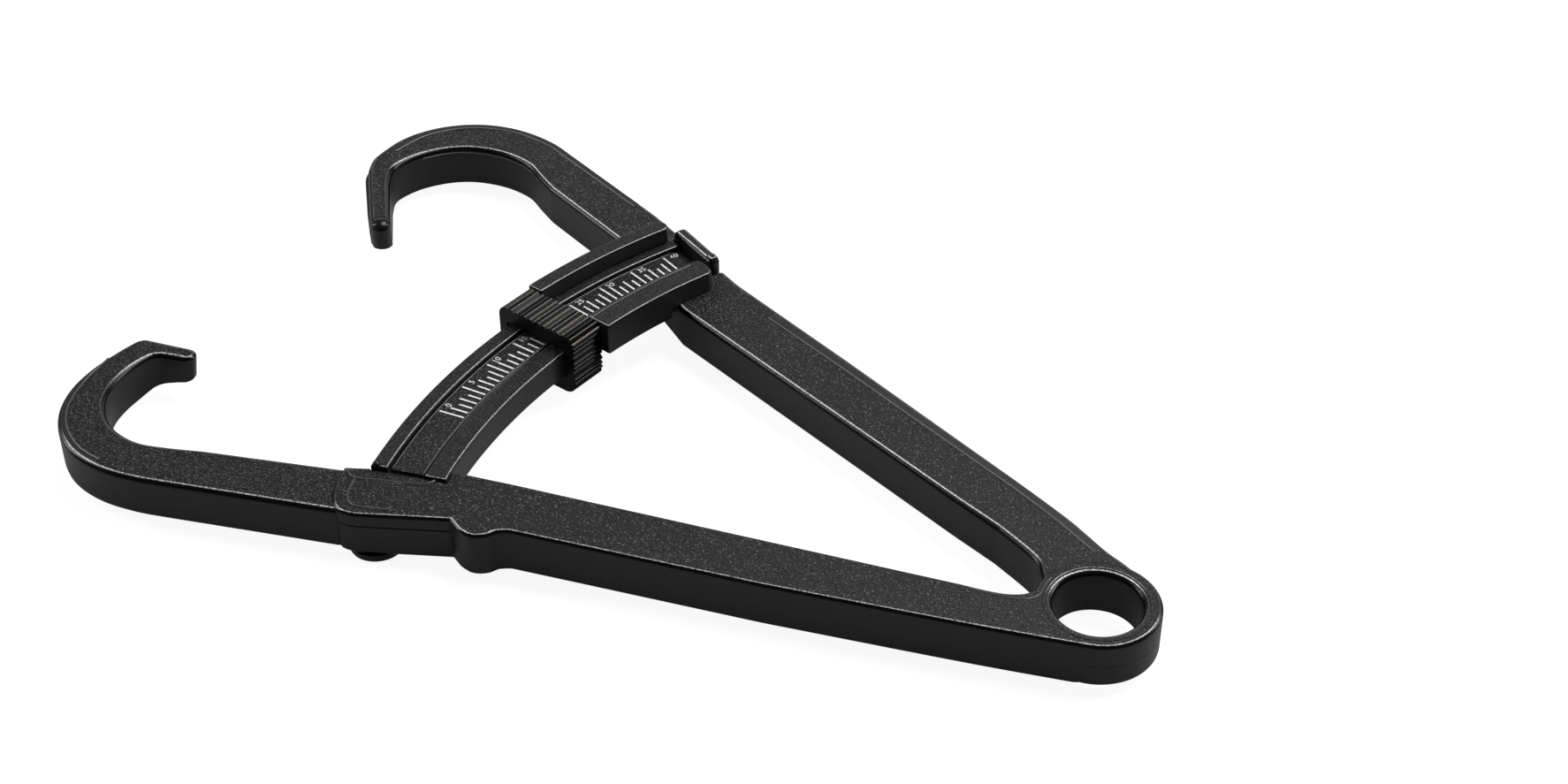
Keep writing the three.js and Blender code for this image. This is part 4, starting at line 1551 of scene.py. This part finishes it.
@dataclass
class GuideRails(Assembly):
    """The two rails of the channel on the upper arm, with their screws."""

    skirt: float = 2.1
    edge: float = 0.55
    corner: float = 1.45
    mouth: float = 139.86
    mouth_corner: float = 0.35
    stop_gap: float = 0.65
    near_turn: float = 1.0
    line_radius: float = 103.95
    line_sink: float = 0.07
    line_width: float = 0.21

    def build(self) -> None:
        """Builds both rails, the near one's fine ridge, which is a painted second highlight along its top,
        and the four screws.
        """
        size = LAYOUT
        far_end = size.stop_end + degrees_along(self.stop_gap, size.arc_radius)
        near_end = size.arc_start + self.near_turn
        self.rail("far_rail", "far_guide_rail", (115.7, 118.85), (115.0, 117.0), far_end, 5.2)
        self.rail("near_rail", "near_guide_rail", (99.85, 104.7), (103.4, 105.0), near_end, 6.3)
        # A light ridge along the near rail's top: a painted second highlight.
        line = Outline().arc(self.line_radius, near_end + 1.2, self.mouth - 0.2, 0.7)
        bm = ridge(line.points, size.rail_top - self.line_sink, self.line_width)
        Piece("near_rail_highlight_line", Body.UPPER, Slot.ARC).place(bm, self.finishes.line)
        for index, place in enumerate(screw_places(), start=1):
            screw = cross_screw(1.3, 0.9, 0.6, 10.2)
            bmesh.ops.translate(screw, vec=(*place, 0.1), verts=screw.verts[:])
            piece = Piece(f"rail_screw_{index}_turned", Body.UPPER, Slot.SCREW, (f"rail_screw_{index}",))
            piece.place(screw, self.finishes.screw)

    def outline(self, reach: Pair, start: float, end: float) -> list[Pair]:
        """A stretch of a ring on the plan with rounded corners.

        Args:
            reach: Its inner and outer radius.
            start: Its first direction in degrees.
            end: Its last direction in degrees.

        Returns:
            The points of the outline.
        """
        line = Outline()
        inner, outer = reach
        wide = degrees_along(self.corner, outer)
        tight = degrees_along(self.mouth_corner, outer)
        ends = ((outer, start, -90), (outer, end, 0), (inner, end, 90), (inner, start, 180))
        for radius, turn, first in ends:
            r = self.corner if turn == start else self.mouth_corner
            far = radius == outer
            middle = radius - r if far else radius + r
            shift = degrees_along(r, middle) * (1 if turn == start else -1)
            centre = polar(middle, turn + shift)
            line.about(centre)
            for k in range(7):
                line.corners(polar(r, turn + shift + first + 15 * k))
            line.about((0.0, 0.0))
            if turn == start and far:
                line.arc(outer, start + 2 * wide, end - 2 * tight, 0.6)
            elif turn == end and not far:
                line.arc(inner, end - 2 * tight, start + 2 * wide, 0.6)
        return line.points

    def rail(self, name: str, node: str, reach: Pair, room: Pair, end: float, seat: float) -> None:
        """Builds one rail with its lip over the arc.

        Args:
            name: The piece's name.
            node: The CAD node that it stands for.
            reach: The inner and outer radius of its top.
            room: The inner and outer radius of the arc's room below its lip.
            end: Its direction at the stop, in degrees.
            seat: Degrees of it that lie on the arm.
        """
        size = LAYOUT
        low = size.arm_height - self.skirt
        lip_bottom = size.arc_top + size.running_gap
        rail = plate(self.outline(reach, end, self.mouth), low, size.rail_top - 0.003, self.edge, 4)
        rail = cut(
            rail,
            box(*room, end - 2.0, self.mouth + 2.0, low - size.overcut, lip_bottom),
            box(
                reach[0] - size.overcut, reach[1] + size.overcut, end - 2.0, size.arc_start + seat,
                low - size.overcut, size.arm_height,
            ),
        )
        Piece(name, Body.UPPER, Slot.ARC, (node,)).place(rail, self.finishes.arc)


@dataclass
class Slider(Assembly):
    """The ribbed slider that wraps the arc, and the leaf spring inside it."""

    angle: float = 141.865
    length: float = 6.8
    inner: float = 101.4
    outer: float = 118.6
    bottom: float = 0.5
    top: float = 12.19
    corner: float = 1.9
    low_corner: float = 2.7
    rib_pitch: float = 1.04
    rib_depth: float = 0.48
    rib_unevenness: float = 0.13
    rib_wander: float = 1.9
    near_gap: float = 0.36
    leaf_rise: float = 0.1
    leaf_thick: float = 0.12
    leaf_reach: float = 5.0
    leaf_width: float = 5.0
    leaf_steps: int = 12

    def path(self) -> list[tuple[Pair, Pair, float]]:
        """Walks round the cross-section from the far top corner by the near side to the bottom.

        Returns:
            For each step, the place, the outward direction and the length walked.
        """
        r, s = self.corner, self.low_corner
        legs = [
            ((self.outer - r, self.top), (self.inner + r, self.top), 0.0),
            ((self.inner + r, self.top - r), (90.0, 180.0), r),
            ((self.inner, self.top - r), (self.inner, self.bottom + s), 0.0),
            ((self.inner + s, self.bottom + s), (180.0, 270.0), s),
            ((self.inner + s, self.bottom), (self.outer - s, self.bottom), 0.0),
            ((self.outer - s, self.bottom + s), (270.0, 360.0), s),
            ((self.outer, self.bottom + s), (self.outer, self.top - r), 0.0),
            ((self.outer - r, self.top - r), (0.0, 90.0), r),
        ]
        step = self.rib_pitch / 12
        walked = 0.0
        places: list[tuple[Pair, Pair, float]] = []
        for index, (start, end, r) in enumerate(legs):
            if index % 2 == 0:
                length = math.dist(start, end)
                along = ((end[0] - start[0]) / length, (end[1] - start[1]) / length)
                normal = (along[1], -along[0])
                count = max(1, round(length / step))
                for k in range(count):
                    place = tuple(at + way * length * k / count for at, way in zip(start, along))
                    places.append((place, normal, walked + length * k / count))
            else:
                centre, (first, last) = start, end
                length = math.radians(last - first) * r
                count = max(4, round(length / step))
                for k in range(count):
                    turn = math.radians(first + (last - first) * k / count)
                    normal = (math.cos(turn), math.sin(turn))
                    place = (centre[0] + r * normal[0], centre[1] + r * normal[1])
                    places.append((place, normal, walked + length * k / count))
            walked += length
        return places

    def section(self) -> list[Pair]:
        """The ribbed cross-section.

        Returns:
            Pairs of distance from the hinge and height.
        """
        top_length = self.outer - self.inner - 2 * self.corner
        side_length = self.top - self.bottom - self.corner - self.low_corner
        ribbed_to = top_length + math.pi / 2 * (self.corner + self.low_corner / 2) + side_length
        points = []
        for place, normal, walked in self.path():
            depth = 0.0
            if walked < ribbed_to:
                uneven = walked + self.rib_unevenness * math.sin(self.rib_wander * walked)
                phase = (uneven / self.rib_pitch + 0.5) % 1.0 - 0.5
                depth = self.rib_depth * (1.0 - math.cos(math.pi * phase))
            points.append((place[0] - normal[0] * depth, place[1] - normal[1] * depth))
        return points

    def prism(self, points: list[Pair], length: float) -> Shape:
        """Turns a cross-section into a prism across the arc at the slider's place.

        Args:
            points: The cross-section.
            length: The prism's length along the arc.

        Returns:
            The new mesh.
        """
        bm = pulled(loop_mesh([(x, -length / 2, z) for x, z in points]), (0.0, length, 0.0))
        turn = Matrix.Rotation(math.radians(self.angle), 3, "Z")
        bmesh.ops.rotate(bm, cent=(0, 0, 0), matrix=turn, verts=bm.verts[:])
        return bm

    def build(self) -> None:
        """Builds the shell and the spring."""
        size = LAYOUT
        shell = self.prism(self.section(), self.length)
        gap = size.running_gap
        near, far = size.arc_inner - self.near_gap, size.arc_outer + gap
        low, high = size.arc_bottom - gap, size.arc_top + gap
        passage = [(near, low), (far, low), (far, high), (near, high)]
        shell = cut(shell, self.prism(passage, self.length + size.overcut))
        piece = Piece("ribbed_slider", Body.SLIDER, Slot.SLIDER, ("slider_shell",), 28.0)
        piece.place(shell, self.finishes.slider)
        piece = Piece("leaf_spring", Body.SLIDER, Slot.SPRING, ("slider_spring",))
        piece.place(self.spring(), self.finishes.spring)

    def spring(self) -> Shape:
        """The bowed leaf between the arc's bands and the shell's roof.

        Returns:
            The new mesh.
        """
        middle = (self.inner + self.outer) / 2
        low = LAYOUT.arc_top + 0.05
        shares = [2 * i / self.leaf_steps - 1 for i in range(self.leaf_steps + 1)]
        under = [
            (middle + self.leaf_reach * share, low + self.leaf_rise * math.cos(math.pi / 2 * share) ** 2)
            for share in shares
        ]
        over = [(x, z + self.leaf_thick) for x, z in reversed(under)]
        return self.prism(under + over, self.leaf_width)


@dataclass
class Studio:
    """A plain pale floor, soft lamps and the camera at the photograph's view."""

    focal_pixels: float = 2800.0
    image_width: float = 1774.0
    sensor: float = 36.0
    camera_place: Triple = (-46.75, -272.44, 257.42)
    tilt: float = 52.4
    floor_reach: float = 4.0
    floor_drop: float = 0.0001
    floor_glow: float = 0.92
    floor_mirror: float = 0.15
    world_light: float = 0.07

    def build(self) -> None:
        """Builds the camera, the floor, the world and the lamps."""
        self.camera()
        self.floor()
        self.world()
        self.lamp("overhead_softbox", (0.24, 0.2, 0.72), 0.5, 0.36, 4.3)
        self.lamp("back_softbox", (0.05, 0.9, 0.2), 1.3, 0.16, 0.9)
        self.lamp("left_softbox", (-0.7, 0.2, 0.4), 0.2, 0.6, 2.2)
        self.lamp("right_softbox", (0.7, 0.2, 0.4), 0.2, 0.6, 2.2)

    def camera(self) -> None:
        """Stands the camera where the photograph was taken."""
        data = bpy.data.cameras.new("camera")
        data.sensor_width = self.sensor
        data.lens = self.focal_pixels / self.image_width * self.sensor
        data.clip_start = 0.01
        data.clip_end = 50.0
        made = bpy.data.objects.new("camera", data)
        made.location = PLACE @ Vector(self.camera_place)
        made.rotation_euler = (math.radians(self.tilt), 0.0, 0.0)
        bpy.context.scene.collection.objects.link(made)
        bpy.context.scene.camera = made

    def floor(self) -> None:
        """Lays the floor, which glows to the camera and keeps the caliper's shadow."""
        bm = bmesh.new()
        bmesh.ops.create_grid(bm, x_segments=1, y_segments=1, size=self.floor_reach)
        made = new_object(bm, "floor")
        made.location.z = -self.floor_drop
        sheet = NodeSheet("pale_floor")
        rays = sheet.node("ShaderNodeLightPath")
        seen = sheet.math("MAXIMUM", rays.outputs["Is Camera Ray"], rays.outputs["Is Transmission Ray"])
        diffuse = sheet.node("ShaderNodeBsdfDiffuse", {"Color": (0.32, 0.32, 0.32, 1.0)})
        mirrored = sheet.math("MULTIPLY", rays.outputs["Is Glossy Ray"], self.floor_mirror)
        strength = sheet.math("MULTIPLY_ADD", seen, self.floor_glow, mirrored)
        glow = sheet.node("ShaderNodeEmission", {"Color": (1.0, 1.0, 1.0, 1.0), "Strength": strength})
        made.data.materials.append(sheet.finish(
            sheet.node("ShaderNodeAddShader", {0: diffuse.outputs[0], 1: glow.outputs[0]})
        ))

    def world(self) -> None:
        """Makes the world white to the camera and dim as a light."""
        world = bpy.data.worlds.new("studio")
        world.use_nodes = True
        tree = world.node_tree
        tree.nodes.clear()
        rays = tree.nodes.new("ShaderNodeLightPath")
        most = tree.nodes.new("ShaderNodeMath")
        most.operation = "MAXIMUM"
        tree.links.new(rays.outputs["Is Camera Ray"], most.inputs[0])
        tree.links.new(rays.outputs["Is Transmission Ray"], most.inputs[1])
        level = tree.nodes.new("ShaderNodeMapRange")
        level.inputs["To Min"].default_value = self.world_light
        level.inputs["To Max"].default_value = 1.0
        tree.links.new(most.outputs[0], level.inputs["Value"])
        background = tree.nodes.new("ShaderNodeBackground")
        tree.links.new(level.outputs[0], background.inputs["Strength"])
        output = tree.nodes.new("ShaderNodeOutputWorld")
        tree.links.new(background.outputs[0], output.inputs["Surface"])
        bpy.context.scene.world = world

    def lamp(self, name: str, place: Triple, width: float, depth: float, power: float) -> None:
        """Hangs one soft lamp, aimed at the caliper.

        Args:
            name: The lamp's name.
            place: Where it hangs, in metres from the caliper.
            width: Its width.
            depth: Its depth.
            power: Its power in watts.
        """
        data = bpy.data.lights.new(name, "AREA")
        data.shape = "RECTANGLE"
        data.size = width
        data.size_y = depth
        data.energy = power
        made = bpy.data.objects.new(name, data)
        made.location = place
        made.rotation_euler = (Vector((0.0, 0.0, 0.0)) - Vector(place)).to_track_quat("-Z", "Y").to_euler()
        bpy.context.scene.collection.objects.link(made)


def main() -> None:
    """Builds the caliper's pieces in order, then the studio."""
    logging.basicConfig(level=logging.INFO, format="%(name)s: %(message)s")
    bpy.context.scene.view_settings.view_transform = "Standard"
    finishes = Finishes()
    for assembly in (LowerArm, UpperArm, HingeRing, ScaleArc, AnchorCover, GuideRails, Slider):
        assembly(finishes).build()
    Studio().build()
    bpy.context.view_layer.update()


if __name__ == "__main__":
    main()
